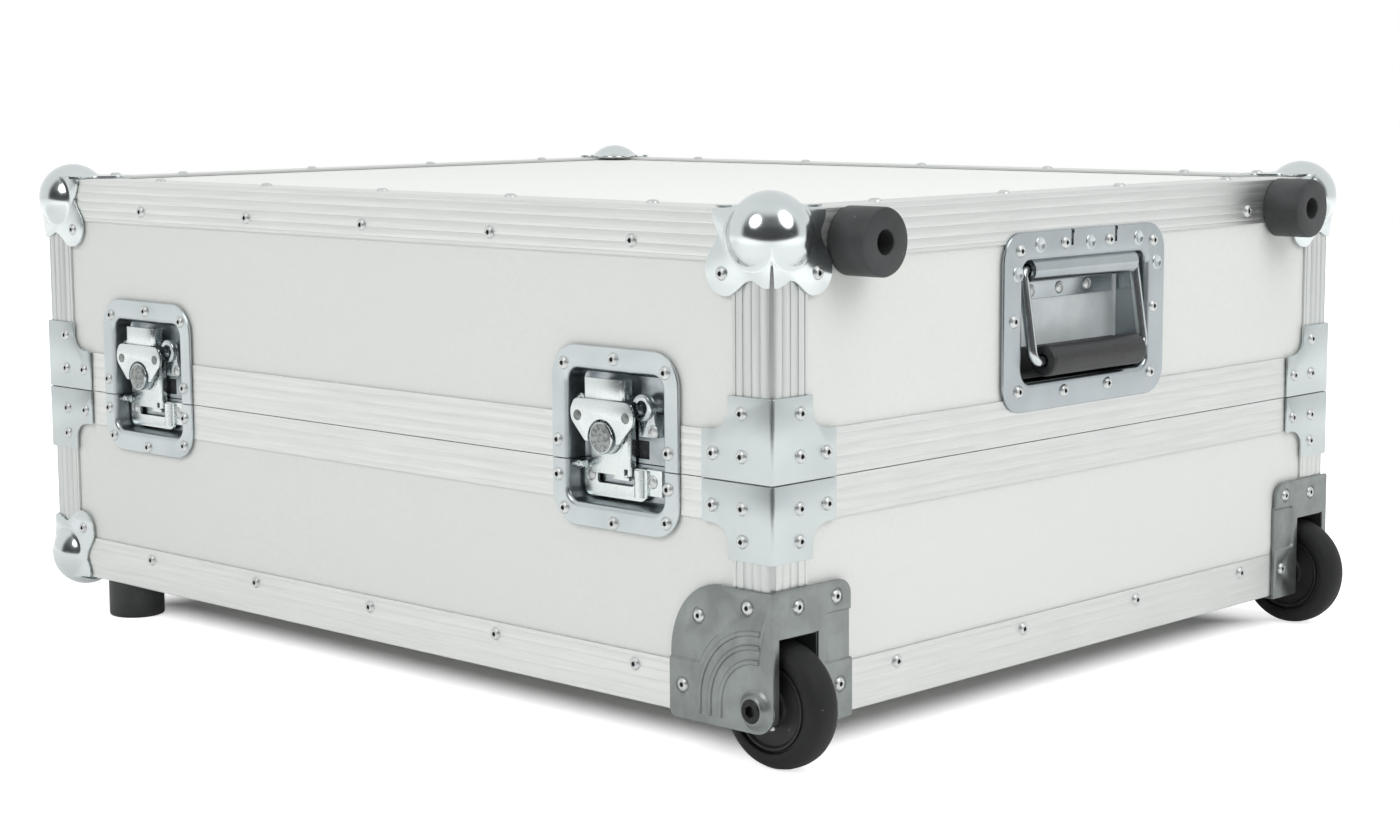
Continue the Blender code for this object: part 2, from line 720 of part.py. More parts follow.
def bracket_axle():
    middle = AXLE_INSET
    axle = rod((middle, -2.0, middle), (middle, WELL_DEPTH - 0.6, middle), AXLE_RADIUS, 12)
    dome = turned([(0.0, 4.2), (7.8, 4.2), (12.5, -0.8), (0.0, -0.8)], bracket_outward(-2.0), 16, closed=False)
    outer_boss = rod((middle, -1.0, middle), (middle, WHEEL_FACES[0] - 0.5, middle), 9.0, 12)
    inner_boss = rod((middle, WHEEL_FACES[1] + 0.5, middle), (middle, WELL_DEPTH - 1.0, middle), 9.0, 12)
    head = rod((middle, -7.4, middle), (middle, -5.0, middle), 7.3, 16)
    return axle, dome, outer_boss, inner_boss, head


def bracket_outward(level):
    """Sets a turned shape on the axle's line, facing out of the front plate at the given level."""
    place = Matrix.Translation(Vector((AXLE_INSET, level, AXLE_INSET)) * MM)
    return place @ Matrix.Rotation(math.pi / 2, 4, "X")


def bracket_ribs():
    """Embossed ribs on quarter arcs about the axle."""
    ribs = []
    for radius, steps in ((27.5, 5), (36.0, 6), (44.0, 7)):
        points = arc((AXLE_INSET, AXLE_INSET), radius, 0.0, 93.0, steps)
        ribs.append(tube([(u, -2.1, w) for u, w in points], 1.2, 0))
    return ribs


def castors():
    bracket = fuse(bracket_front(), bracket_side(), bracket_floor(), *bracket_housing(), *bracket_axle())
    bracket = fuse(bracket, *bracket_ribs())
    socket = rod((AXLE_INSET, -9.0, AXLE_INSET), (AXLE_INSET, -4.5, AXLE_INSET), 3.6, 6)
    near = finish(cut(bracket, socket), "castor_front_bracket", DULL_ZINC)
    near.location = Vector((RIGHT, FRONT, BOTTOM)) * MM
    near.scale = (-1.0, 1.0, 1.0)
    repeat(near, "castor_back_bracket", (RIGHT, BACK, BOTTOM), (-1.0, -1.0, 1.0))
    wheel = turned(wheel_profile(), Matrix.Rotation(math.pi / 2, 4, "X"), 22)
    wheel = finish(wheel, "castor_front_wheel", RUBBER)
    middle = (WHEEL_FACES[0] + WHEEL_FACES[1]) / 2
    wheel.location = Vector((RIGHT - AXLE_INSET, FRONT + middle, BOTTOM + AXLE_INSET)) * MM
    repeat(wheel, "castor_back_wheel", (RIGHT - AXLE_INSET, BACK - middle, BOTTOM + AXLE_INSET))


def wheel_profile():
    """A crowned tyre on a dished hub, down its outer side from one face to the other."""
    half = (WHEEL_FACES[1] - WHEEL_FACES[0]) / 2
    upper = [(AXLE_RADIUS + 0.4, half - 1.0), (25.0, half - 1.0), (26.0, half - 2.5), (27.0, half)]
    upper += [(31.0, half - 0.6), (35.6, half - 4.0), (WHEEL_RADIUS, 0.0)]
    return upper + [(radius, -height) for radius, height in upper[-2::-1]]


# Feet

def foot_profile():
    """A rubber foot hung from its fixing face at height 0, with a counterbore in its end."""
    length = STAND_OFF - GAP
    return [
        (0.0, 0.0),
        (FOOT_RADIUS, 0.0),
        (FOOT_RADIUS, -length + 2.0),
        (FOOT_RADIUS - 2.0, -length),
        (FOOT_BORE, -length),
        (FOOT_BORE, -length + 17.0),
        (0.0, -length + 17.0),
    ]


def feet():
    foot = finish(turned(foot_profile(), Matrix.Identity(4), 18, closed=False), "base_foot_front", RUBBER)
    foot.location = Vector((LEFT + BASE_FOOT_X, FRONT + BASE_FOOT_Y, BOTTOM - GAP)) * MM
    repeat(foot, "base_foot_back", (LEFT + BASE_FOOT_X, BACK - BASE_FOOT_Y, BOTTOM - GAP))
    sideways = (0.0, -math.pi / 2, 0.0)
    for face, y in (("front", FRONT + LID_FOOT_Y), ("back", BACK - LID_FOOT_Y)):
        repeat(foot, f"lid_foot_{face}", (RIGHT + GAP, y, BOTTOM + LID_FOOT_Z), rotation=sideways)


# Latches, in axes from the dish's middle on the joint line: x across, y inward, z up

def dish_rings(flange, opening, floor, depth, radii, centre, plane):
    """Rings of a pressed dish: front of the floor, up the wall, round the flange and back under."""
    flange_radius, opening_radius, floor_radius = radii
    lip = 1.2
    levels = [
        (floor[0], floor[1], floor_radius, depth),
        (opening[0], opening[1], opening_radius, 0.4),
        (opening[0] + lip, opening[1] + lip, opening_radius + lip, -1.8),
        (flange[0], flange[1], flange_radius, -1.8),
        (flange[0], flange[1], flange_radius, -GAP),
        (opening[0] + SHEET, opening[1] + SHEET, opening_radius + SHEET, -GAP),
        (floor[0] + SHEET, floor[1] + SHEET, floor_radius + SHEET, depth + SHEET),
    ]
    rings = []
    for half_u, half_v, radius, level in levels:
        outline = rounded_rectangle(half_u, half_v, radius, centre=centre)
        if plane == "xz":
            rings.append([(u, level, v) for u, v in outline])
        else:
            rings.append([(-level, u, v) for u, v in outline])
    return rings


def latch_dish():
    opening = (LATCH_OPENING, LATCH_OPENING)
    floor = (LATCH_OPENING - 1.5, LATCH_OPENING - 1.5)
    rings = dish_rings(LATCH_FLANGE, opening, floor, LATCH_DEPTH, (20.0, 8.0, 6.0), (0.0, LATCH_CENTRE), "xz")
    return loft(rings)


def upper_dish():
    """The lid's half, with the padlock eye, the guide lug and the window beside the hook."""
    whole = latch_dish()
    half = half_of(whole, 0.4, keep_above=True)
    discard(whole)
    back = LATCH_DEPTH + 0.6
    eye = rod((17.5, 4.0, 35.0), (17.5, 8.5, 35.0), 8.0, 16)
    eye_stem = block((12.0, 7.0, 17.0), (26.0, 9.0, 33.0), 0.5)
    eye_foot = block((20.0, 8.5, 17.0), (26.0, back, 30.0))
    lug = rod((-34.8, 8.0, 38.0), (-34.8, back, 38.0), 3.0, 12)
    guide = block((STUD[0] - 9.0, 9.2, 40.0), (STUD[0] + 9.0, back, 50.5), 0.5)
    half = fuse(half, eye_stem, eye, eye_foot, lug, guide)
    eye_hole = rod((17.5, 2.0, 35.0), (17.5, 12.0, 35.0), 4.3, 12)
    window = block((4.0, 11.0, 3.0), (15.0, 18.0, 14.0))
    return cut(half, eye_hole, window)


def lower_dish():
    """The base's half, with the keeper that the hook's nose drops into."""
    whole = latch_dish()
    half = half_of(whole, -0.4, keep_above=False)
    discard(whole)
    middle, back = STUD[0], LATCH_DEPTH + 0.6
    u_shape = [(middle - 25, -2.5), (middle - 25, -19), (middle - 22, -22), (middle + 24, -22), (middle + 28, -19)]
    u_shape += [(middle + 28, -2.5), (middle + 17, -2.5), (middle + 17, -14), (middle - 14, -14), (middle - 14, -2.5)]
    keeper = plate([u_shape], "xz", 9.0, 10.8)
    left_leg = block((middle - 25, 9.5, -17), (middle - 23, back, -4))
    right_leg = block((middle + 26, 9.5, -17), (middle + 28, back, -4))
    tab = block((middle + 27, 11.2, -18), (middle + 40, back, -2.5), 0.5)
    return fuse(half, keeper, left_leg, right_leg, tab)


def latch_cam():
    """The stud, with the eccentric that moves the hook and the pin that carries the wing."""
    x, z = STUD
    stud = rod((x, -1.0, z), (x, 5.6, z), STUD_RADIUS, 20)
    eccentric = rod((x, 5.0, z + ECCENTRIC), (x, 8.6, z + ECCENTRIC), 6.5, 12)
    journal = rod((x, 8.2, z), (x, LATCH_DEPTH - 0.4, z), 9.0, 12)
    pin = rod((x - 14.8, WING_PIVOT, z), (x + 14.8, WING_PIVOT, z), 1.4, 8)
    return fuse(stud, eccentric, journal, pin)


def latch_wing():
    """The wing folds flat round the stud, on two lugs."""
    x, z = STUD
    left = [(-11.9, -3.0), (-14.5, -3.0), (-25.8, 9.0), (-26.7, 13.0), (-26.2, 17.0), (-23.4, 21.5), (-20.2, 22.5)]
    right = [(-p, q) for p, q in left[::-1]]
    bay = arc((0.0, 0.0), 11.9, 0.0, 180.0, 10)
    outline = [(x + p, z + q) for p, q in left + right + [(11.9, -1.5)] + bay + [(-11.9, -1.5)]]
    wing = plate([outline], "xz", -1.0, 0.8)
    lugs = []
    for low, high in ((-14.2, -12.2), (12.2, 14.2)):
        web = block((x + low, -0.5, z - 2.0), (x + high, WING_PIVOT, z + 2.6))
        eye = rod((x + low, WING_PIVOT, z), (x + high, WING_PIVOT, z), 2.9, 12)
        lugs += [web, eye]
    wing = fuse(wing, *lugs)
    bore = rod((x - 20, WING_PIVOT, z), (x + 20, WING_PIVOT, z), 1.8, 8)
    return cut(wing, bore)


def latch_hook():
    """The hook plate slides on the eccentric. Its head is cranked forward and its nose bent in."""
    x, z = STUD
    section = [(6.0, -7.5), (6.0, 32.0), (2.0, 37.5), (2.0, 51.6), (3.8, 51.6), (3.8, 38.2), (7.8, 32.8)]
    section += [(7.8, -7.5)]
    body = plate([section], "yz", x - 16.0, x + 16.0)
    flange = block((x + 14.2, 2.4, 38.5), (x + 16.0, 9.0, 51.6))
    nose = block((x - 5.0, 6.0, -9.3), (x + 14.0, 12.0, -7.0))
    slot = plate([rounded_rectangle(8.7, 7.2, 6.6, 3, (x, z + ECCENTRIC))], "xz", 4.0, 10.0)
    return cut(fuse(body, flange, nose), slot)


def latches():
    middle = {}
    for side, x in LATCH_X.items():
        place = (x, FRONT, JOINT)
        pivot = (STUD[0], WING_PIVOT, STUD[1])
        pieces = (
            ("upper_dish", upper_dish, ZINC, (0.0, 0.0, 0.0)),
            ("lower_dish", lower_dish, ZINC, (0.0, 0.0, 0.0)),
            ("cam", latch_cam, DULL_ZINC, (STUD[0], 0.0, STUD[1])),
            ("wing", latch_wing, ZINC, pivot),
            ("hook", latch_hook, ZINC, (0.0, 0.0, 0.0)),
        )
        for kind, make, material, origin in pieces:
            name = f"latch_{side}_{kind}"
            where = Vector(place) + Vector(origin)
            if kind in middle:
                repeat(middle[kind], name, where)
            else:
                middle[kind] = finish(make(), name, material, origin)
                middle[kind].location = where * MM


# Handles, in axes from the end plane: x outward, y along the depth, z from the body's bottom

def handle_dish():
    """The pressed dish, the rolled tube that holds the bail's spring, and the strip behind it."""
    floor = (HANDLE_OPENING[0] - 2.5, HANDLE_OPENING[1] - 2.5)
    centre = (0.0, HANDLE_CENTRE)
    rings = dish_rings(HANDLE_FLANGE, HANDLE_OPENING, floor, HANDLE_DEPTH, (18.0, 8.0, 6.0), centre, "yz")
    out, height = BAIL_PIVOT
    half = BAIL_HALF - WIRE_RADIUS - 0.8
    roll = rod((out, -half, height), (out, half, height), 6.5, 16)
    web = block((out - 4.0, -half, height + 2.0), (out + 2.0, half, HANDLE_CENTRE + HANDLE_OPENING[1] + 0.8))
    strip = block((-HANDLE_DEPTH - 0.5, -58.0, 226.0), (-HANDLE_DEPTH + 2.2, 58.0, 250.0))
    dish = fuse(loft(rings), roll, web, strip)
    bores = [
        rod((out, side * (half - 9.0), height), (out, side * (half + 5.0), height), WIRE_RADIUS + 0.4, 12)
        for side in (-1.0, 1.0)
    ]
    return cut(dish, *bores)


def bail_points():
    """The bail's wire: in at one end of the roll, down, through the grip and back up."""
    top = Vector((BAIL_PIVOT[0], BAIL_HALF, BAIL_PIVOT[1]))
    low = Vector((BAIL_GRIP[0], BAIL_HALF, BAIL_GRIP[1]))
    inner_top = Vector((BAIL_PIVOT[0], BAIL_HALF - WIRE_RADIUS - 0.8 - 7.0, BAIL_PIVOT[1]))
    inner_low = Vector((BAIL_GRIP[0], 0.0, BAIL_GRIP[1]))
    half = [inner_top] + bend(inner_top, top, low, 4.5) + bend(top, low, inner_low, 7.5)
    other = [Vector((p.x, -p.y, p.z)) for p in half[::-1]]
    return half + other


def bend(before, corner, after, radius, steps=3):
    """A rounded corner between two straight runs."""
    start = corner + (before - corner).normalized() * radius
    end = corner + (after - corner).normalized() * radius
    points = []
    for step in range(steps + 1):
        t = step / steps
        points.append(start * (1 - t) ** 2 + corner * 2 * t * (1 - t) + end * t**2)
    return points


def handle_grip():
    wall = [(WIRE_RADIUS + 0.4, GRIP_HALF), (GRIP_RADIUS - 1.5, GRIP_HALF), (GRIP_RADIUS, GRIP_HALF - 1.5)]
    profile = wall + [(radius, -height) for radius, height in wall[::-1]]
    place = Matrix.Translation(Vector((BAIL_GRIP[0], 0.0, BAIL_GRIP[1])) * MM)
    return turned(profile, place @ Matrix.Rotation(math.pi / 2, 4, "X"), 14)


def handles():
    pivot = (BAIL_PIVOT[0], 0.0, BAIL_PIVOT[1])
    pieces = (
        ("dish", handle_dish(), ZINC, (0.0, 0.0, 0.0)),
        ("bail", tube(bail_points(), WIRE_RADIUS), ZINC, pivot),
        ("grip", handle_grip(), GRIP_PLASTIC, pivot),
    )
    for kind, obj, material, origin in pieces:
        right = finish(obj, f"handle_right_{kind}", material, origin)
        right.location = (Vector((RIGHT, 0.0, BOTTOM)) + Vector(origin)) * MM
        mirrored = Vector((LEFT - origin[0], 0.0, BOTTOM + origin[2]))
        repeat(right, f"handle_left_{kind}", mirrored, (-1.0, 1.0, 1.0))


# Hinge

def knuckle(index):
    pitch = 2 * HINGE_HALF / KNUCKLES
    start = BODY_CENTRE_X - HINGE_HALF + index * pitch + 0.25
    return start, start + pitch - 0.5


def hinge_leaf(indices, up):
    """A leaf with its share of the knuckles, each on a tab that clears the other leaf's."""
    low, high = sorted((JOINT + up * 5.8, JOINT + up * 30.0))
    near, far = BACK + GAP, BACK + 1.8
    leaf = block((BODY_CENTRE_X - HINGE_HALF, near, low), (BODY_CENTRE_X + HINGE_HALF, far, high))
    pieces = []
    for index in indices:
        start, end = knuckle(index)
        tab_low, tab_high = sorted((JOINT + up * 1.0, JOINT + up * 6.5))
        pieces.append(block((start + 0.4, near + 0.35, tab_low), (end - 0.4, far - 0.05, tab_high)))
        pieces.append(rod((start, HINGE_Y, JOINT), (end, HINGE_Y, JOINT), KNUCKLE_RADIUS, 10))
    reach = HINGE_HALF + 10
    bore = rod((BODY_CENTRE_X - reach, HINGE_Y, JOINT), (BODY_CENTRE_X + reach, HINGE_Y, JOINT), 2.4, 8)
    return cut(fuse(leaf, *pieces), bore)


def hinge():
    axis = (BODY_CENTRE_X, HINGE_Y, JOINT)
    finish(hinge_leaf(range(0, KNUCKLES, 2), -1.0), "hinge_base_leaf", ZINC)
    finish(hinge_leaf(range(1, KNUCKLES, 2), 1.0), "hinge_lid_leaf", ZINC, axis)
    half = HINGE_HALF - 0.5
    pin = rod((BODY_CENTRE_X - half, HINGE_Y, JOINT), (BODY_CENTRE_X + half, HINGE_Y, JOINT), 2.0, 8)
    finish(pin, "hinge_pin", ZINC, axis)


# Foam liners

def base_foam():
    out, wall = FOAM_INSET, FOAM_INSET + FOAM_WALL
    low, high = BOTTOM + INNER_INSET + GAP, JOINT - 1.0
    body = block((LEFT + out, FRONT + out, low), (RIGHT - out, BACK - out, high))
    pocket = block((LEFT + wall, FRONT + wall, low + BASE_FOAM_FLOOR), (RIGHT - wall - 12, BACK - wall, high + 5))
    well_reach, well_depth = WELL + 1.0, WELL_DEPTH + 1.0
    rooms = [
        block((RIGHT - well_reach, y0, low - 5), (RIGHT, y1, BOTTOM + WELL + 1.6))
        for y0, y1 in ((FRONT, FRONT + well_depth), (BACK - well_depth, BACK))
    ]
    foam = cut(body, pocket, *rooms, *latch_notches(LATCH_DEPTH + 2.6, 2.6))
    finish(foam, "base_foam", FOAM)


def lid_foam():
    out, wall = FOAM_INSET, FOAM_INSET + FOAM_WALL
    low, high = JOINT + 1.0, TOP - INNER_INSET - GAP
    body = block((LEFT + out, FRONT + out, low), (RIGHT - out, BACK - out, high))
    pocket = block((LEFT + wall, FRONT + wall, low - 5), (RIGHT - wall - 12, BACK - wall, high - LID_FOAM_ROOF))
    rooms = [handle_window(plane, HANDLE_DEPTH + 2.6, 2.6) for plane in (LEFT, RIGHT)]
    foam = cut(body, pocket, *rooms, *latch_notches(LATCH_DEPTH + 2.6, 2.6))
    finish(foam, "lid_foam", FOAM)


def main():
    base_panels()
    lid_panels()
    lid_edge_frame()
    base_edge_frame()
    rim("lid_rim", lid_rim_outline())
    rim("base_rim", base_rim_outline())
    ball_corners()
    braces()
    castors()
    feet()
    latches()
    handles()
    hinge()
    base_foam()
    lid_foam()
    bpy.context.view_layer.update()


main()
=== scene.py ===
import json
import math

import bmesh
import bpy
from mathutils import Matrix, Vector

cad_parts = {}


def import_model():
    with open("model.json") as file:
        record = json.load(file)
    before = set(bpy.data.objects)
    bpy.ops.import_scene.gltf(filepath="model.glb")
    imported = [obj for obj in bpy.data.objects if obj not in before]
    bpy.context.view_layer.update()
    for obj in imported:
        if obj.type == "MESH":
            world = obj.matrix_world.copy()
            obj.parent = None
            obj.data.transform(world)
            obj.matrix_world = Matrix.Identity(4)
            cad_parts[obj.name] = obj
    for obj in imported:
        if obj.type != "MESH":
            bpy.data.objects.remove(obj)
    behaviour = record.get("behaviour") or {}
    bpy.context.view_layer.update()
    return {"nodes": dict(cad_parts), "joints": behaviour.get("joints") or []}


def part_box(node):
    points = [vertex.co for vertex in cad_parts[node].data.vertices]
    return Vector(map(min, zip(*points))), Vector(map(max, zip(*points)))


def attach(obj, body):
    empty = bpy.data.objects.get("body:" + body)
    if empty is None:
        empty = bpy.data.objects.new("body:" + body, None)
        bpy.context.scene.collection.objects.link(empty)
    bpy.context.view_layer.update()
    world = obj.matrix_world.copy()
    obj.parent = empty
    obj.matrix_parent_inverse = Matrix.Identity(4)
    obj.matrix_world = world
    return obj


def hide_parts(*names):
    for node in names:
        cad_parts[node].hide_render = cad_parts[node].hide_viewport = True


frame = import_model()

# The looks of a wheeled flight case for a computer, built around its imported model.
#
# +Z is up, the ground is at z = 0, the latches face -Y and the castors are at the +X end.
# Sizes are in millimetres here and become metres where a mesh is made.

MM = 0.001


def joint_place(name):
    """Where a joint of the model sits, in millimetres."""
    found = next(joint for joint in frame["joints"] if joint["name"] == name)
    return Vector(found["pos_m"]) / MM


# Planes of the body, read from the model
FRAME_LOW, FRAME_HIGH = (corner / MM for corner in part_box("lid_edge_frame"))
LEFT, RIGHT = FRAME_LOW.x, FRAME_HIGH.x
FRONT, BACK = FRAME_LOW.y, FRAME_HIGH.y
TOP = FRAME_HIGH.z
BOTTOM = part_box("base_edge_frame")[0].z / MM
HINGE = joint_place("lid_hinge")
JOINT = HINGE.z
LENGTH, DEPTH = RIGHT - LEFT, BACK - FRONT

# Sheet metal
GAP = 0.3
SHEET = 1.5
FACE = -GAP - SHEET

# Ball corners
BALL_RADIUS = 24.5
BALL_INSET = 14.3
BALL_LEG = 43.0
BALL_COVE = 6.0

# Corner braces
BRACE_WIDTH = 30.0
BRACE_ARM = 53.0
BRACE_FOLD = 2.2

# Castors
AXLE_INSET = 11.0
WHEEL_RADIUS = 37.5
WHEEL_FACES = (7.0, 31.0)
HUB_RADIUS = 26.5
AXLE_RADIUS = 6.0
WELL = 53.0
WELL_DEPTH = 38.0
BRACKET = 79.0
BRACKET_SIDE = 66.0

# Feet
FOOT_RADIUS = 20.0
FOOT_BORE = 7.2
FOOT_LENGTH = BOTTOM - GAP

# Latches, from the dish's middle on the joint line
LATCH_FROM_END = 124.4
LATCH_CENTRE = 15.0
LATCH_FLANGE = (53.0, 54.5)
LATCH_OPENING = 40.0
LATCH_DEPTH = 13.0
STUD = (-11.1, 15.0)
STUD_RADIUS = 9.8
ECCENTRIC = 1.5
WING_PIVOT = 2.6
LATCH_X = {"left": LEFT + LATCH_FROM_END, "right": RIGHT - LATCH_FROM_END}

# Handles, with heights from the body's bottom
HANDLE_FLANGE = (86.0, 55.75)
HANDLE_OPENING = (66.3, 37.5)
HANDLE_CENTRE = 215.0
HANDLE_DEPTH = 22.0
BAIL_PIVOT = (-4.5, 246.5)
BAIL_GRIP = (4.5, 190.5)
BAIL_HALF = 59.3
WIRE_RADIUS = 3.5
GRIP_RADIUS = 10.0
GRIP_HALF = 50.0

# Foam liners
FOAM_INSET = 11.2
FOAM_WALL = 42.0
FOAM_FLOOR = 30.0
PANEL_INNER = 8.8

PLANES = {
    "xy": Matrix.Identity(4),
    "xz": Matrix(((1, 0, 0, 0), (0, 0, 1, 0), (0, 1, 0, 0), (0, 0, 0, 1))),
    "yz": Matrix(((0, 0, 1, 0), (1, 0, 0, 0), (0, 1, 0, 0), (0, 0, 0, 1))),
}


# Materials

def srgb(*levels):
    """A colour given as it looks on a screen, from 0 to 255, as the shader's linear numbers."""
    shares = [level / 255.0 for level in levels]
    return tuple(s / 12.92 if s <= 0.04045 else ((s + 0.055) / 1.055) ** 2.4 for s in shares)


class Finish:
    """A material's nodes around one Principled shader."""

    def __init__(self, name, colour, roughness, metallic=0.0):
        self.material = bpy.data.materials.new(name)
        self.material.use_nodes = True
        tree = self.material.node_tree
        self.nodes, self.links = tree.nodes, tree.links
        self.shader = self.nodes["Principled BSDF"]
        self.colour = colour
        self.shader.inputs["Base Color"].default_value = (*colour, 1.0)
        self.shader.inputs["Roughness"].default_value = roughness
        self.shader.inputs["Metallic"].default_value = metallic
        self.place = self.nodes.new("ShaderNodeTexCoord").outputs["Object"]

    def noise(self, grain, detail=3.0, stretch=(1.0, 1.0, 1.0)):
        """Noise with grains of about the given size in millimetres, longer where stretched."""
        mapping = self.nodes.new("ShaderNodeMapping")
        mapping.inputs["Scale"].default_value = [1.0 / s for s in stretch]
        self.links.new(self.place, mapping.inputs["Vector"])
        texture = self.nodes.new("ShaderNodeTexNoise")
        texture.inputs["Scale"].default_value = 1.0 / (grain * MM)
        texture.inputs["Detail"].default_value = detail
        self.links.new(mapping.outputs["Vector"], texture.inputs["Vector"])
        return texture.outputs["Fac"]

    def spread(self, value, low, high, start=0.0, end=1.0):
        """Stretches the range from low to high over start to end, and holds it there beyond."""
        node = self.nodes.new("ShaderNodeMapRange")
        node.inputs["From Min"].default_value = low
        node.inputs["From Max"].default_value = high
        node.inputs["To Min"].default_value = start
        node.inputs["To Max"].default_value = end
        self.links.new(value, node.inputs["Value"])
        return node.outputs["Result"]

    def math(self, operation, first, second):
        node = self.nodes.new("ShaderNodeMath")
        node.operation = operation
        for socket, value in zip(node.inputs, (first, second)):
            if isinstance(value, float):
                socket.default_value = value
            else:
                self.links.new(value, socket)
        return node.outputs[0]

    def tint(self, factor, other):
        """Mixes the base colour, as built so far, towards another."""
        node = self.nodes.new("ShaderNodeMix")
        node.data_type = "RGBA"
        socket = self.shader.inputs["Base Color"]
        if socket.is_linked:
            self.links.new(socket.links[0].from_socket, node.inputs[6])
        else:
            node.inputs[6].default_value = (*self.colour, 1.0)
        node.inputs[7].default_value = (*other, 1.0)
        self.links.new(factor, node.inputs[0])
        self.links.new(node.outputs[2], socket)

    def rough(self, value):
        self.links.new(value, self.shader.inputs["Roughness"])

    def bump(self, height, depth, strength=1.0):
        """Raises the surface by up to the given depth in millimetres."""
        node = self.nodes.new("ShaderNodeBump")
        node.inputs["Strength"].default_value = strength
        node.inputs["Distance"].default_value = depth * MM
        self.links.new(height, node.inputs["Height"])
        before = self.shader.inputs["Normal"]
        if before.is_linked:
            self.links.new(before.links[0].from_socket, node.inputs["Normal"])
        self.links.new(node.outputs["Normal"], self.shader.inputs["Normal"])


def laminate():
    """Pale faced plywood with a fine pebbled skin."""
    finish = Finish("faced_panel", srgb(229, 231, 228), 0.42)
    pebble = finish.noise(1.6, 2.0)
    finish.tint(finish.spread(finish.noise(3.0, 4.0), 0.35, 0.75), srgb(225, 227, 223))
    finish.tint(finish.spread(finish.noise(160.0, 2.0), 0.3, 0.8), srgb(227, 229, 226))
    finish.rough(finish.spread(pebble, 0.3, 0.7, 0.36, 0.5))
    finish.bump(pebble, 0.12, 0.5)
    return finish.material


def ribbed_aluminium(name, colour, run):
    """Satin extrusion, with drawing lines along its run and faint handling marks."""
    finish = Finish(name, colour, 0.4, 1.0)
    long = tuple(60.0 if axis == run else 1.0 for axis in range(3))
    lines = finish.noise(0.9, 3.0, long)
    finish.tint(finish.spread(lines, 0.35, 0.7, 0.0, 0.7), tuple(0.93 * c for c in colour))
    finish.tint(finish.spread(finish.noise(45.0, 3.0), 0.45, 0.7, 0.0, 0.6), tuple(0.95 * c for c in colour))
    finish.rough(finish.spread(lines, 0.3, 0.7, 0.36, 0.48))
    finish.bump(lines, 0.03, 0.4)
    return finish.material


def plated(name, colour, shade, roughness, mottle=22.0, metallic=1.0):
    """Bright plated steel, a little uneven in tone and gloss."""
    finish = Finish(name, colour, roughness, metallic)
    clouds = finish.noise(mottle, 3.0)
    finish.tint(finish.spread(clouds, 0.35, 0.7), shade)
    fine = finish.noise(1.2, 3.0)
    finish.rough(finish.spread(fine, 0.3, 0.75, roughness * 0.92, roughness * 1.12))
    finish.bump(clouds, 0.08, 0.5)
    return finish.material


def dull_steel():
    """The castor bracket's grey passivated sheet, with smudged lighter rubs."""
    finish = Finish("dull_bracket", srgb(133, 138, 137), 0.36, 0.85)
    clouds = finish.noise(18.0, 4.0)
    finish.tint(finish.spread(clouds, 0.4, 0.7), srgb(152, 158, 156))
    rubs = finish.noise(7.0, 4.0, (1.0, 1.0, 4.0))
    finish.tint(finish.spread(rubs, 0.58, 0.75, 0.0, 0.7), srgb(124, 129, 128))
    finish.rough(finish.spread(clouds, 0.3, 0.7, 0.3, 0.44))
    finish.bump(finish.noise(2.5, 3.0), 0.05, 0.5)
    return finish.material


def cast_stud():
    """The stud's rough grey end."""
    finish = Finish("cast_stud", srgb(168, 172, 170), 0.45, 1.0)
    pits = finish.noise(2.6, 5.0)
    finish.tint(finish.spread(pits, 0.42, 0.62), srgb(120, 124, 122))
    finish.bump(pits, 0.35, 0.8)
    return finish.material


def rubber(name, colour, roughness):
    """Black rubber with a matt skin and a few pale specks."""
    finish = Finish(name, colour, roughness)
    finish.tint(finish.spread(finish.noise(30.0, 3.0), 0.4, 0.7, 0.0, 0.6), tuple(2.2 * c for c in colour))
    finish.tint(finish.spread(finish.noise(3.2, 2.0), 0.74, 0.78, 0.0, 0.5), srgb(120, 122, 120))
    finish.bump(finish.noise(1.1, 3.0), 0.05, 0.5)
    finish.shader.inputs["Specular IOR Level"].default_value = 0.4
    return finish.material


def grip_plastic():
    finish = Finish("grip_plastic", srgb(34, 34, 36), 0.42)
    finish.tint(finish.spread(finish.noise(0.8, 4.0, (1.0, 8.0, 1.0)), 0.4, 0.7, 0.0, 0.6), srgb(52, 53, 55))
    finish.bump(finish.noise(0.9, 3.0), 0.04, 0.5)
    return finish.material


def foam_skin():
    """Open-cell foam: small dark pores in a soft grey."""
    finish = Finish("foam", srgb(74, 75, 78), 0.95)
    pores = finish.noise(1.4, 4.0)
    finish.tint(finish.spread(pores, 0.38, 0.6), srgb(52, 53, 56))
    finish.bump(pores, 0.7, 0.9)
    return finish.material


def plain_dark(name, colour, roughness, metallic=0.0):
    """Bolt heads, and the painted shade in rivet holes, with a trace of unevenness."""
    finish = Finish(name, colour, roughness, metallic)
    finish.tint(finish.spread(finish.noise(4.0, 3.0), 0.4, 0.7, 0.0, 0.6), tuple(1.6 * c for c in colour))
    return finish.material


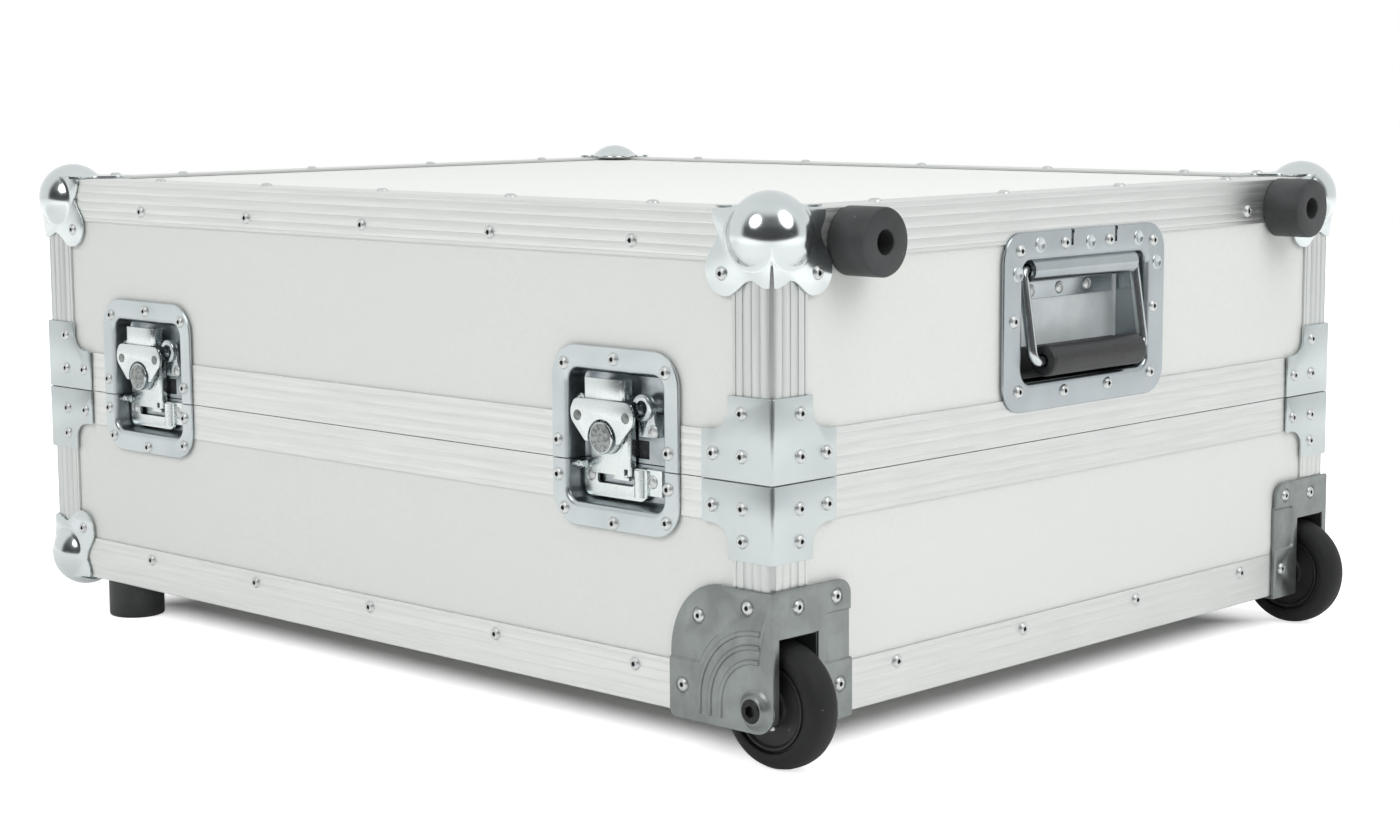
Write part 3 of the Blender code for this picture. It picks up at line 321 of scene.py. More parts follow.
PANEL = laminate()
# Three copies of one aluminium with drawing lines along their runs. Their tones differ by run as painted light and
# shade: the length runs are lightest and the uprights darkest.
ALUMINIUM_X = ribbed_aluminium("aluminium_along_length", srgb(226, 228, 225), 0)
ALUMINIUM_Y = ribbed_aluminium("aluminium_along_depth", srgb(217, 219, 217), 1)
ALUMINIUM_Z = ribbed_aluminium("aluminium_upright", srgb(212, 215, 213), 2)
ZINC = plated("bright_zinc", srgb(222, 228, 227), srgb(213, 220, 220), 0.26)
BRACE_ZINC = plated("brace_zinc", srgb(203, 210, 210), srgb(195, 202, 203), 0.3, 60.0)
FLANGE_ZINC = plated("latch_flange_zinc", srgb(200, 207, 208), srgb(188, 196, 198), 0.3, 40.0)
# The latch dish's inner walls and floor: a darker copy of its flange's zinc, painted shade in the recess.
SHADED_ZINC = plated("latch_dish_painted_shade_zinc", srgb(176, 183, 186), srgb(154, 162, 165), 0.3, 9.0)
HANDLE_ZINC = plated("handle_zinc", srgb(176, 183, 186), srgb(164, 171, 174), 0.24, 45.0)
# The handle dish's flat floor: a lighter, matter copy of the dish's zinc, painted light on the floor.
MATT_PAINTED_LIGHT_ZINC = plated("dish_floor_painted_light_zinc", srgb(232, 238, 239), srgb(220, 227, 229), 0.5, 14.0, 0.4)
WIRE_ZINC = plated("wire_zinc", srgb(205, 210, 211), srgb(190, 196, 198), 0.2, 16.0)
WORKED_ZINC = plated("worked_zinc", srgb(200, 206, 207), srgb(166, 173, 176), 0.14, 7.0)
CHROME = plated("chrome", srgb(214, 220, 220), srgb(206, 212, 213), 0.17, 30.0)
RIVET = plated("rivet_aluminium", srgb(216, 219, 218), srgb(200, 203, 202), 0.4, 4.0)
# Near black for the rivet holes' faces: painted shade in the holes.
PAINTED_HOLE_SHADE = plain_dark("rivet_hole_painted_shade", srgb(46, 47, 46), 0.6)
DULL = dull_steel()
CAST = cast_stud()
TYRE = rubber("tyre_rubber", srgb(15, 16, 16), 0.62)
HUB = rubber("hub_plastic", srgb(30, 31, 30), 0.45)
FOOT = rubber("foot_rubber", srgb(50, 51, 52), 0.5)
BLACK_STEEL = plain_dark("black_steel", srgb(36, 37, 38), 0.35, 0.6)
GRIP = grip_plastic()
FOAM = foam_skin()


# Tools that make one closed shape

def shape(bm):
    bmesh.ops.recalc_face_normals(bm, faces=bm.faces)
    mesh = bpy.data.meshes.new("shape")
    bm.to_mesh(mesh)
    bm.free()
    obj = bpy.data.objects.new("shape", mesh)
    bpy.context.scene.collection.objects.link(obj)
    return obj


def evaluated_mesh(obj):
    bpy.context.view_layer.update()
    graph = bpy.context.evaluated_depsgraph_get()
    return bpy.data.meshes.new_from_object(obj.evaluated_get(graph))


def welded(mesh, matrix=None):
    bm = bmesh.new()
    bm.from_mesh(mesh)
    bpy.data.meshes.remove(mesh)
    bmesh.ops.remove_doubles(bm, verts=bm.verts, dist=0.000002)
    bmesh.ops.dissolve_degenerate(bm, edges=bm.edges, dist=0.000002)
    if matrix is not None:
        bmesh.ops.transform(bm, matrix=matrix, verts=bm.verts)
    return shape(bm)


def discard(obj):
    data = obj.data
    bpy.data.objects.remove(obj, do_unlink=True)
    if isinstance(data, bpy.types.Mesh):
        bpy.data.meshes.remove(data)
    else:
        bpy.data.curves.remove(data)


def combine(base, tools, operation):
    """Joins or cuts the base with each tool, and merges the faces left in one plane."""
    for tool in tools:
        modifier = base.modifiers.new(operation.lower(), "BOOLEAN")
        modifier.operation = operation
        modifier.solver = "EXACT"
        modifier.object = tool
    result = welded(evaluated_mesh(base))
    for used in (base, *tools):
        discard(used)
    bm = bmesh.new()
    bm.from_mesh(result.data)
    bmesh.ops.dissolve_limit(bm, angle_limit=math.radians(0.2), verts=bm.verts, edges=bm.edges)
    bm.to_mesh(result.data)
    bm.free()
    return result


def fuse(base, *tools):
    return combine(base, tools, "UNION")


def cut(base, *tools):
    return combine(base, tools, "DIFFERENCE")


def eased(obj, width, segments=2, angle=28.0):
    """Rounds every edge sharper than the angle."""
    bevel = obj.modifiers.new("ease", "BEVEL")
    bevel.width = width * MM
    bevel.segments = segments
    bevel.limit_method = "ANGLE"
    bevel.angle_limit = math.radians(angle)
    result = welded(evaluated_mesh(obj))
    discard(obj)
    return result


def block(low, high):
    bm = bmesh.new()
    bmesh.ops.create_cube(bm, size=1.0)
    low, high = Vector(low) * MM, Vector(high) * MM
    bmesh.ops.scale(bm, vec=high - low, verts=bm.verts)
    bmesh.ops.translate(bm, vec=(low + high) / 2, verts=bm.verts)
    return shape(bm)


def rod(start, end, radius, sides=40):
    start, end = Vector(start) * MM, Vector(end) * MM
    run = end - start
    turn = run.to_track_quat("Z", "Y").to_matrix().to_4x4()
    bm = bmesh.new()
    bmesh.ops.create_cone(
        bm,
        cap_ends=True,
        segments=sides,
        radius1=radius * MM,
        radius2=radius * MM,
        depth=run.length,
        matrix=Matrix.Translation((start + end) / 2) @ turn,
    )
    return shape(bm)


def hull(points):
    bm = bmesh.new()
    for point in points:
        bm.verts.new(Vector(point) * MM)
    bmesh.ops.convex_hull(bm, input=bm.verts)
    return shape(bm)


def plate(outlines, plane, low, high):
    """Extrudes a flat outline, and any holes listed after it, along the plane's normal."""
    curve = bpy.data.curves.new("outline", "CURVE")
    curve.dimensions = "2D"
    curve.fill_mode = "BOTH"
    curve.extrude = (high - low) / 2 * MM
    for outline in outlines:
        spline = curve.splines.new("POLY")
        spline.points.add(len(outline) - 1)
        for point, (u, v) in zip(spline.points, outline):
            point.co = (u * MM, v * MM, 0.0, 1.0)
        spline.use_cyclic_u = True
    guide = bpy.data.objects.new("outline", curve)
    bpy.context.scene.collection.objects.link(guide)
    middle = Matrix.Translation((0.0, 0.0, (low + high) / 2 * MM))
    result = welded(evaluated_mesh(guide), PLANES[plane] @ middle)
    discard(guide)
    bm = bmesh.new()
    bm.from_mesh(result.data)
    bmesh.ops.dissolve_limit(bm, angle_limit=math.radians(0.2), verts=bm.verts, edges=bm.edges)
    bm.to_mesh(result.data)
    bm.free()
    return result


def tube(points, radius, resolution=4):
    """A round wire through the points, with closed ends."""
    curve = bpy.data.curves.new("wire", "CURVE")
    curve.dimensions = "3D"
    curve.bevel_depth = radius * MM
    curve.bevel_resolution = resolution
    curve.use_fill_caps = True
    spline = curve.splines.new("POLY")
    spline.points.add(len(points) - 1)
    for point, place in zip(spline.points, points):
        point.co = (*(Vector(place) * MM), 1.0)
    guide = bpy.data.objects.new("wire", curve)
    bpy.context.scene.collection.objects.link(guide)
    result = welded(evaluated_mesh(guide))
    discard(guide)
    return result


def turned(profile, matrix, steps, closed=True):
    """Turns a (radius, height) profile about Z, then sets it in place with the matrix."""
    bm = bmesh.new()
    points = [bm.verts.new((radius * MM, 0.0, height * MM)) for radius, height in profile]
    pairs = list(zip(points, points[1:]))
    if closed:
        pairs.append((points[-1], points[0]))
    for pair in pairs:
        bm.edges.new(pair)
    bmesh.ops.spin(
        bm,
        geom=bm.verts[:] + bm.edges[:],
        axis=(0.0, 0.0, 1.0),
        cent=(0.0, 0.0, 0.0),
        steps=steps,
        angle=math.tau,
    )
    bmesh.ops.remove_doubles(bm, verts=bm.verts, dist=0.000002)
    bmesh.ops.dissolve_degenerate(bm, edges=bm.edges, dist=0.000002)
    bmesh.ops.transform(bm, matrix=matrix, verts=bm.verts)
    return shape(bm)


def loft(rings):
    """Skins rings of equal length one after another and caps both ends."""
    bm = bmesh.new()
    rows = [[bm.verts.new(Vector(point) * MM) for point in ring] for ring in rings]
    count = len(rows[0])
    for row, following in zip(rows, rows[1:]):
        for index in range(count):
            after = (index + 1) % count
            bm.faces.new((row[index], row[after], following[after], following[index]))
    bm.faces.new(rows[0])
    bm.faces.new(rows[-1])
    return shape(bm)


def half_of(obj, height, keep_above):
    """Cuts a closed shape on a level plane and caps what stays."""
    bm = bmesh.new()
    bm.from_mesh(obj.data)
    result = bmesh.ops.bisect_plane(
        bm,
        geom=bm.verts[:] + bm.edges[:] + bm.faces[:],
        plane_co=(0.0, 0.0, height * MM),
        plane_no=(0.0, 0.0, 1.0),
        clear_inner=keep_above,
        clear_outer=not keep_above,
    )
    rim = [item for item in result["geom_cut"] if isinstance(item, bmesh.types.BMEdge)]
    bmesh.ops.edgeloop_fill(bm, edges=rim)
    return shape(bm)


def arc(centre, radius, start, end, steps):
    points = []
    for step in range(steps + 1):
        angle = math.radians(start + (end - start) * step / steps)
        points.append((centre[0] + radius * math.cos(angle), centre[1] + radius * math.sin(angle)))
    return points


def rounded_rectangle(half_u, half_v, radius, segments=8, centre=(0.0, 0.0)):
    points = []
    for side_u, side_v, start in ((1, 1, 0), (-1, 1, 90), (-1, -1, 180), (1, -1, 270)):
        middle = (centre[0] + side_u * (half_u - radius), centre[1] + side_v * (half_v - radius))
        points += arc(middle, radius, start, start + 90.0, segments)
    return points


def rounded(points, radius, steps=4):
    """Rounds each corner of an outline, using less radius where its sides are short."""
    result = []
    for index, point in enumerate(points):
        corner = Vector(point)
        before, after = Vector(points[index - 1]) - corner, Vector(points[(index + 1) % len(points)]) - corner
        reach = min(radius, before.length * 0.45, after.length * 0.45)
        start, end = corner + before.normalized() * reach, corner + after.normalized() * reach
        for step in range(steps + 1):
            t = step / steps
            result.append(tuple(start * (1 - t) ** 2 + corner * 2 * t * (1 - t) + end * t**2))
    return result


def flowing(points, steps=4):
    """A smooth line through the points."""
    padded = [points[0], *points, points[-1]]
    result = []
    for a, b, c, d in zip(padded, padded[1:], padded[2:], padded[3:]):
        a, b, c, d = Vector(a), Vector(b), Vector(c), Vector(d)
        for step in range(steps):
            t = step / steps
            pull = (c - a) * t + (2 * a - 5 * b + 4 * c - d) * t**2 + (3 * b - a - 3 * c + d) * t**3
            result.append(tuple(b + pull / 2))
    return result + [tuple(points[-1])]


# Tools that finish a piece

def setting(point, signs=(1.0, 1.0, 1.0)):
    """Local axes at a point of the body, some of them turned round."""
    return Matrix.Translation(Vector(point) * MM) @ Matrix.Diagonal((*signs, 1.0))


def dress(obj, name, body, material, stands_for=(), smooth=32.0):
    """Names a piece, gives it its finish and sets it on its body."""
    obj.name = name
    obj.data.name = name
    if not obj.data.materials:
        obj.data.materials.append(material)
    obj.data.shade_smooth()
    obj.data.set_sharp_from_angle(angle=math.radians(smooth))
    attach(obj, body)
    if stands_for:
        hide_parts(*stands_for)
    return obj


def moved(source, matrix):
    """A copy of a shape in another place, mirrored if the matrix mirrors."""
    bm = bmesh.new()
    bm.from_mesh(source.data)
    bmesh.ops.transform(bm, matrix=matrix, verts=bm.verts)
    if matrix.determinant() < 0:
        bmesh.ops.reverse_faces(bm, faces=bm.faces)
    mesh = bpy.data.meshes.new("shape")
    bm.to_mesh(mesh)
    bm.free()
    for material in source.data.materials:
        mesh.materials.append(material)
    obj = bpy.data.objects.new("shape", mesh)
    bpy.context.scene.collection.objects.link(obj)
    return obj


def joined(*parts):
    """One piece of several closed shapes that stand in each other."""
    bm = bmesh.new()
    for part in parts:
        bm.from_mesh(part.data)
    for part in parts:
        discard(part)
    return shape(bm)


# Nodes of the model that keep their shape

def finish_nodes():
    """Panels and hinge leaves keep their shape, and the extruded frames get a finer one."""
    finishes = {"panel": PANEL, "hinge": ZINC}
    for name, node in list(frame["nodes"].items()):
        words = name.split("_")
        kind = next((word for word in words if word in finishes), None)
        if kind is not None:
            node.data.materials.clear()
            node.data.materials.append(finishes[kind])
        elif "rim" in words or "edge" in words:
            extrusion(name, node)


def extrusion(name, node):
    """A copy of an extruded frame with fainter grooves on its level runs and rounder upright corners."""
    bm = bmesh.new()
    bm.from_mesh(node.data)
    bmesh.ops.remove_doubles(bm, verts=bm.verts, dist=0.000005)
    bmesh.ops.dissolve_limit(bm, angle_limit=math.radians(0.2), verts=bm.verts, edges=bm.edges)
    rounded_off = []
    for vert in bm.verts:
        runs = [run for edge in vert.link_edges if (run := long_run(edge, 20.0)) is not None]
        if any(run < 2 for run in runs):
            for axis, depth, out in depths(vert.co):
                if GROOVE_FLOOR[0] < depth < GROOVE_FLOOR[1]:
                    vert.co[axis] += out * depth * GROOVE_FADE * MM
        elif 2 in runs:
            across = {axis: (depth, out) for axis, depth, out in depths(vert.co)}
            for axis, other in ((0, 1), (1, 0)):
                depth, out = across.get(axis, (0.0, 0.0))
                if abs(depth - CHAMFER) < 0.05 and abs(across.get(other, (9.0, 0.0))[0]) < 0.05:
                    vert.co[axis] -= out * (UPRIGHT_ROUND - CHAMFER) * MM
                    rounded_off.append(vert)
    corners = {edge for vert in rounded_off for edge in vert.link_edges if long_run(edge, 20.0) == 2}
    if corners:
        bmesh.ops.bevel(
            bm,
            geom=[edge for edge in corners if all(vert in rounded_off for vert in edge.verts)],
            offset=0.9 * MM,
            offset_type="OFFSET",
            segments=5,
            profile=0.5,
            affect="EDGES",
        )
    obj = shape(bm)
    for material in (ALUMINIUM_X, ALUMINIUM_Y, ALUMINIUM_Z):
        obj.data.materials.append(material)
    paint_by_run(obj)
    dress(obj, name + "_extrusion", name.split("_")[0], ALUMINIUM_X, (name,), smooth=9.0)


GROOVE_FLOOR = (0.2, 0.5)
GROOVE_FADE = 0.72
CHAMFER = 0.8
UPRIGHT_ROUND = 2.2


def depths(place):
    """How far a point lies inside each outer plane of the body that it is near, with the way out."""
    near = []
    for axis, (low, high) in enumerate(((LEFT, RIGHT), (FRONT, BACK), (BOTTOM, TOP))):
        for plane, out in ((low, -1.0), (high, 1.0)):
            depth = (plane - place[axis] / MM) * out
            if -0.05 < depth < 1.0:
                near.append((axis, depth, out))
    return near


def long_run(edge, least):
    """The axis that a long straight edge runs along, if it does."""
    span = edge.verts[1].co - edge.verts[0].co
    axis = max(range(3), key=lambda index: abs(span[index]))
    straight = abs(span[axis]) > 0.999 * span.length
    return axis if straight and span.length > least * MM else None


def paint_by_run(obj):
    """Gives each length of an aluminium frame the finish that runs along it, its tone painted lighter or darker for
    that run as painted light and shade.
    """
    edge = 31.0 * MM
    for face in obj.data.polygons:
        spread = [max(values) - min(values) for values in zip(*(obj.data.vertices[v].co for v in face.vertices))]
        middle = face.center
        longest = spread.index(max(spread))
        if max(spread) < 2 * edge:
            longest = 1 if min(abs(middle.x - LEFT * MM), abs(middle.x - RIGHT * MM)) < edge else 0
        face.material_index = longest


# Rivets

RIVET_DOME = [(1.4, 1.6), (1.65, 1.85), (2.1, 1.9), (2.7, 1.75), (3.3, 1.35), (3.75, 0.8), (4.05, 0.3), (4.2, 0.0)]
RIVET_HOLE = [(0.0, 0.4), (1.3, 0.45)]
CLINCH = [(0.0, 0.15), (2.9, 0.12), (3.4, 0.55), (4.2, 0.65), (4.9, 0.45), (5.3, 0.0)]
FLAT_HEAD = [(0.0, 0.7), (2.4, 0.65), (2.9, 0.3), (3.2, 0.3), (3.5, 0.6), (3.8, 0.5), (4.1, 0.0)]
SUNK_PIN = [(0.0, 0.35), (2.2, 0.3), (2.6, 0.08), (2.9, 0.06), (3.1, 0.3), (3.3, 0.0)]


def rivet_shape(profile, material, hole=()):
    """One rivet head standing on z = 0, with its hole's faces in the second material, painted dark as shade."""
    rivet = turned([*hole, *profile, (0.0, 0.0)], Matrix.Identity(4), 20, closed=False)
    rivet.data.materials.append(material)
    rivet.data.materials.append(PAINTED_HOLE_SHADE)
    if hole:
        limit = 1.45 * MM
        for face in rivet.data.polygons:
            reach = max(math.hypot(*rivet.data.vertices[v].co.xy) for v in face.vertices)
            inner = reach < limit and face.center.z > 0.1 * MM
            face.material_index = 1 if inner else 0
    return rivet


def outward(face):
    """The turn that stands a rivet on a face of the case."""
    turns = {
        "front": Matrix.Rotation(math.pi / 2, 4, "X"),
        "back": Matrix.Rotation(-math.pi / 2, 4, "X"),
        "right": Matrix.Rotation(math.pi / 2, 4, "Y"),
        "left": Matrix.Rotation(-math.pi / 2, 4, "Y"),
        "top": Matrix.Identity(4),
        "bottom": Matrix.Rotation(math.pi, 4, "X"),
    }
    return turns[face]


def rivet_row(name, body, source, places):
    """Joins copies of a rivet, one for each (face, point), into one piece."""
    bm = bmesh.new()
    for face, point in places:
        spin = Matrix.Rotation(0.7 * sum(point), 4, "Z")
        before = len(bm.verts)
        bm.from_mesh(source.data)
        bm.verts.ensure_lookup_table()
        place = Matrix.Translation(Vector(point) * MM) @ outward(face) @ spin
        bmesh.ops.transform(bm, matrix=place, verts=bm.verts[before:])
    mesh = bpy.data.meshes.new(name)
    bm.to_mesh(mesh)
    bm.free()
    for material in source.data.materials:
        mesh.materials.append(material)
    obj = bpy.data.objects.new(name, mesh)
    bpy.context.scene.collection.objects.link(obj)
    return dress(obj, name, body, RIVET, smooth=50.0)


EDGE_ROW = (110.0, 233.5, 357.0, 480.5, 604.0)
DEPTH_ROW = (109.6, 233.0, 356.3, 481.9)
TOP_ROW_HEIGHT = 273.0 - 294.0
LOW_ROW_HEIGHT = 22.4
TOP_INSET = 18.0


def edge_rivets(rivet):
    """Rivets along the edge angles of both halves."""
    lid, base = [], []
    for a in EDGE_ROW:
        x = RIGHT - a
        for face, y in (("front", FRONT), ("back", BACK)):
            lid.append((face, (x, y, TOP + TOP_ROW_HEIGHT)))
            base.append((face, (x, y, BOTTOM + LOW_ROW_HEIGHT)))
        for y in (FRONT + TOP_INSET, BACK - TOP_INSET):
            lid.append(("top", (x, y, TOP)))
            base.append(("bottom", (x, y, BOTTOM)))
    for b in DEPTH_ROW:
        y = FRONT + b
        handle = abs(y) < HANDLE_FLANGE[0] + 6.0
        for face, x, inward in (("left", LEFT, 1.0), ("right", RIGHT, -1.0)):
            if not handle:
                lid.append((face, (x, y, TOP + TOP_ROW_HEIGHT)))
            base.append((face, (x, y, BOTTOM + LOW_ROW_HEIGHT)))
            lid.append(("top", (x + inward * TOP_INSET, y, TOP)))
            base.append(("bottom", (x + inward * TOP_INSET, y, BOTTOM)))
    rivet_row("lid_edge_rivets", "lid", rivet, lid)
    rivet_row("base_edge_rivets", "base", rivet, base)


def corner_places(spots, level, heights):
    """The same spots, given inward from each upright edge, on both faces of all four corners."""
    places = []
    for x, into_x, end in ((LEFT, 1.0, "left"), (RIGHT, -1.0, "right")):
        for y, into_y, side in ((FRONT, 1.0, "front"), (BACK, -1.0, "back")):
            for inward, height in spots:
                places.append((side, (x + into_x * inward, y + into_y * level, heights(height))))
                places.append((end, (x + into_x * level, y + into_y * inward, heights(height))))
    return places


def brace_rivets(rivet):
    lid_spots = ((22.0, 39.2), (21.8, 14.8), (44.3, 15.0))
    base_spots = ((21.4, -14.9), (45.0, -14.8), (21.4, -33.6))
    rivet_row("lid_brace_rivets", "lid", rivet, corner_places(lid_spots, FACE, lambda h: JOINT + h))
    rivet_row("base_brace_rivets", "base", rivet, corner_places(base_spots, FACE, lambda h: JOINT + h))


# Ball corners, in axes that run from the body's corner along its three edges

def ball_wing():
    """One face of a ball corner: a leg along each edge and a rounded lobe between them."""
    half = [(BALL_LEG, FACE), (43.4, 4.0), (41.6, 9.0), (39.7, 13.5), (41.2, 19.0), (45.6, 25.0)]
    half += [(48.6, 30.0), (49.2, 35.0), (48.0, 40.5), (45.0, 45.0)]
    half = flowing(half, 3)
    return [(FACE, FACE)] + half + [(q, p) for p, q in half[-2::-1]]


def turned_axes(point, axis):
    """The same point with its last coordinate moved to the given axis."""
    order = {2: (0, 1, 2), 1: (0, 2, 1), 0: (2, 1, 0)}[axis]
    return tuple(point[index] for index in order)


def ball_cove(axis):
    """The flare where the ball meets the wing across one axis, mitred with its neighbours'."""
    height = BALL_INSET - FACE
    centre = math.sqrt((BALL_RADIUS + BALL_COVE) ** 2 - (height + BALL_COVE) ** 2)
    toward = math.degrees(math.atan2(-(height + BALL_COVE), -centre))
    curve = arc((centre, -FACE + BALL_COVE), BALL_COVE, -90.0, toward, 12)
    profile = curve + [(centre - BALL_COVE - 3.0, GAP + 0.4), (centre + 1.0, GAP + 0.4)]
    away = {2: Matrix.Rotation(math.pi, 4, "X"), 1: Matrix.Rotation(math.pi / 2, 4, "X")}
    away[0] = Matrix.Rotation(-math.pi / 2, 4, "Y")
    spot = Vector(turned_axes((BALL_INSET, BALL_INSET, 0.0), axis))
    ring = turned(profile, Matrix.Translation(spot * MM) @ away[axis], 96)
    mitre = [(x, y, level) for level in (-30.0, 1.0) for x in (level, 90.0) for y in (level, 90.0)]
    kept = combine(ring, [hull([turned_axes(point, axis) for point in mitre])], "INTERSECT")
    return cut(kept, ball_tip())


def ball_tip():
    """The corner's tip, which the ball itself covers."""
    return hull([(54.4, -20.0, -20.0), (-20.0, 54.4, -20.0), (-20.0, -20.0, 54.4), (-20.0, -20.0, -20.0)])


def edge_slit(axis):
    """A wedge that opens the seam of the two legs along one edge, wider toward their ends."""
    start, end, half = 19.0, 62.0, 1.7
    flat = [(-9.0, -9.0, start), (1.5, 1.5, start)]
    flat += [(middle + side, middle - side, end) for middle in (-9.0, 1.5) for side in (-half, half)]
    return hull([point[-axis:] + point[:-axis] if axis else point for point in flat])


def ball_corner():
    """Three folded wings round the corner, the hollow ball that stands out of them and its flares."""
    wings = fuse(*[plate([ball_wing()], plane, FACE, -GAP) for plane in PLANES])
    wings = eased(cut(wings, *[edge_slit(axis) for axis in range(3)], ball_tip()), 0.4)
    bm = bmesh.new()
    middle = Matrix.Translation(Vector((1, 1, 1)) * BALL_INSET * MM)
    bmesh.ops.create_uvsphere(bm, u_segments=96, v_segments=72, radius=BALL_RADIUS * MM, matrix=middle)
    tip, far = 3.2, 80.0
    tips = [(tip, -GAP, -GAP), (-GAP, tip, -GAP), (-GAP, -GAP, tip)]
    box = [(x, y, z) for x in (-GAP, far) for y in (-GAP, far) for z in (-GAP, far)][1:]
    return joined(wings, cut(shape(bm), hull(tips + box)), *[ball_cove(axis) for axis in range(3)])


def ball_corners(rivet):
    source = ball_corner()
    spot = 36.6
    rivets = {"lid": [], "base": []}
    places = [("lid", end, side, TOP, -1.0) for end in ("left", "right") for side in ("front", "back")]
    places += [("base", "left", side, BOTTOM, 1.0) for side in ("front", "back")]
    for body, end, side, level, into_z in places:
        x, into_x = (LEFT, 1.0) if end == "left" else (RIGHT, -1.0)
        y, into_y = (FRONT, 1.0) if side == "front" else (BACK, -1.0)
        name = f"{body}_ball_corner_{side}_{end}"
        piece = moved(source, setting((x, y, level), (into_x, into_y, into_z)))
        dress(piece, name + "_shell", body, CHROME, (name,))
        inner_x, inner_y, inner_z = x + into_x * spot, y + into_y * spot, level + into_z * spot
        flat = "top" if into_z < 0 else "bottom"
        rivets[body] += [
            (side, (inner_x, y + into_y * FACE, inner_z)),
            (end, (x + into_x * FACE, inner_y, inner_z)),
            (flat, (inner_x, inner_y, level + into_z * FACE)),
        ]
    discard(source)
    for body, spots in rivets.items():
        rivet_row(f"{body}_ball_corner_rivets", body, rivet, spots)


# Corner braces, in axes that run inward from the corner and away from the joint line

def brace(leg, arm_height):
    """A folded plate round the upright edge: a leg and, at the joint, an arm on each face."""
    fold = arc((FACE + BRACE_FOLD, FACE + BRACE_FOLD), BRACE_FOLD, 270.0, 180.0, 6)
    inner = arc((FACE + BRACE_FOLD, FACE + BRACE_FOLD), BRACE_FOLD - SHEET, 180.0, 270.0, 4)
    section = [(BRACE_ARM, FACE)] + fold + [(FACE, BRACE_ARM), (-GAP, BRACE_ARM)] + inner + [(BRACE_ARM, -GAP)]
    width, far = BRACE_WIDTH + 2.5, BRACE_ARM + 9.0
    body = plate([section], "xy", GAP, leg)
    body = cut(
        body,
        block((width, -9.0, arm_height), (far, 9.0, leg + 9.0)),
        block((-9.0, width, arm_height), (9.0, far, leg + 9.0)),
    )
    along_arm, up_leg, rise = 14.0, 11.0, arm_height - 0.6
    curve = [(width + along_arm * (1 + u), arm_height + up_leg * (1 + v)) for u, v in arc((0, 0), 1.0, 270.0, 180.0, 8)]
    web = [(width - 0.6, rise), (width + along_arm, rise)] + curve + [(width - 0.6, arm_height + up_leg)]
    return eased(fuse(body, *[plate([web], plane, FACE, -GAP) for plane in ("xz", "yz")]), 0.4)


def braces():
    for body, leg, arm_height, away in (("lid", 49.0, 29.0, 1.0), ("base", 45.0, 25.0, -1.0)):
        source = brace(leg, arm_height)
        for end, x, into_x in (("left", LEFT, 1.0), ("right", RIGHT, -1.0)):
            for side, y, into_y in (("front", FRONT, 1.0), ("back", BACK, -1.0)):
                name = f"{body}_brace_{side}_{end}"
                piece = moved(source, setting((x, y, JOINT), (into_x, into_y, away)))
                dress(piece, name + "_plate", body, BRACE_ZINC, (name,))
        discard(source)


# Castors, in axes that run inward from the body's bottom corner

def bracket_front_outline():
    boss = arc((AXLE_INSET, AXLE_INSET), 14.0, 270.0, 198.2, 12)
    steps = 14
    quarter = [i * math.pi / 2 / steps for i in range(steps + 1)]
    shoulder = [(41.0 + 38.0 * math.sin(t), 35.0 + 44.0 * math.cos(t)) for t in quarter]
    return boss + [(-2.3, 14.0), (-2.3, BRACKET)] + shoulder + [(BRACKET, 1.0), (BRACKET - 3.0, -3.0)]


def pressed_field(grow):
    """The part of the front plate beyond the edge angle, bounded by an arc about the axle."""
    radius, low, side = 50.0 - grow, 33.0 - grow, 41.4 - grow
    start = math.degrees(math.asin((low - AXLE_INSET) / radius))
    end = math.degrees(math.acos((side - AXLE_INSET) / radius))
    return [(90.0, low)] + arc((AXLE_INSET, AXLE_INSET), radius, start, end, 8) + [(side, 90.0), (90.0, 90.0)]


BRACKET_FRONT_RIVETS = ((56.9, 59.0, -0.9), (17.3, 68.9, -2.3), (68.8, 16.8, -2.3))
BRACKET_SIDE_RIVETS = ((19.5, 69.0, -2.3), (52.5, 70.4, -2.3), (55.4, 18.4, -2.3))
SEAT = 0.8


def dimple(plane, u, v, level):
    """The shallow round dish that a rivet sits in."""
    profile = [(0.0, SEAT), (4.8, SEAT), (5.4, -0.6), (0.0, -0.6)]
    out = Matrix.Rotation(-math.pi / 2, 4, "X") if plane == "xz" else Matrix.Rotation(math.pi / 2, 4, "Y")
    point = (u, level, v) if plane == "xz" else (level, u, v)
    return turned(profile, Matrix.Translation(Vector(point) * MM) @ out, 28, closed=False)


def ramped(outlines, levels, plane):
    """A cutter whose outline changes from one level to the next, so its sides slope."""
    rings = []
    for outline, level in zip(outlines, levels):
        rings.append([(u, level, v) if plane == "xz" else (level, u, v) for u, v in outline])
    return loft(rings)


def bracket_front():
    outline = bracket_front_outline()
    slope = ramped([pressed_field(2.6), pressed_field(0.0), pressed_field(0.0)], (-3.4, -0.9, 5.0), "xz")
    sheet = cut(plate([outline], "xz", -2.3, -GAP), slope)
    field = combine(
        plate([outline], "xz", -0.9, 1.2), [plate([pressed_field(0.8)], "xz", -5.0, 5.0)], "INTERSECT"
    )
    return cut(fuse(sheet, field), *[dimple("xz", u, v, level) for u, v, level in BRACKET_FRONT_RIVETS])


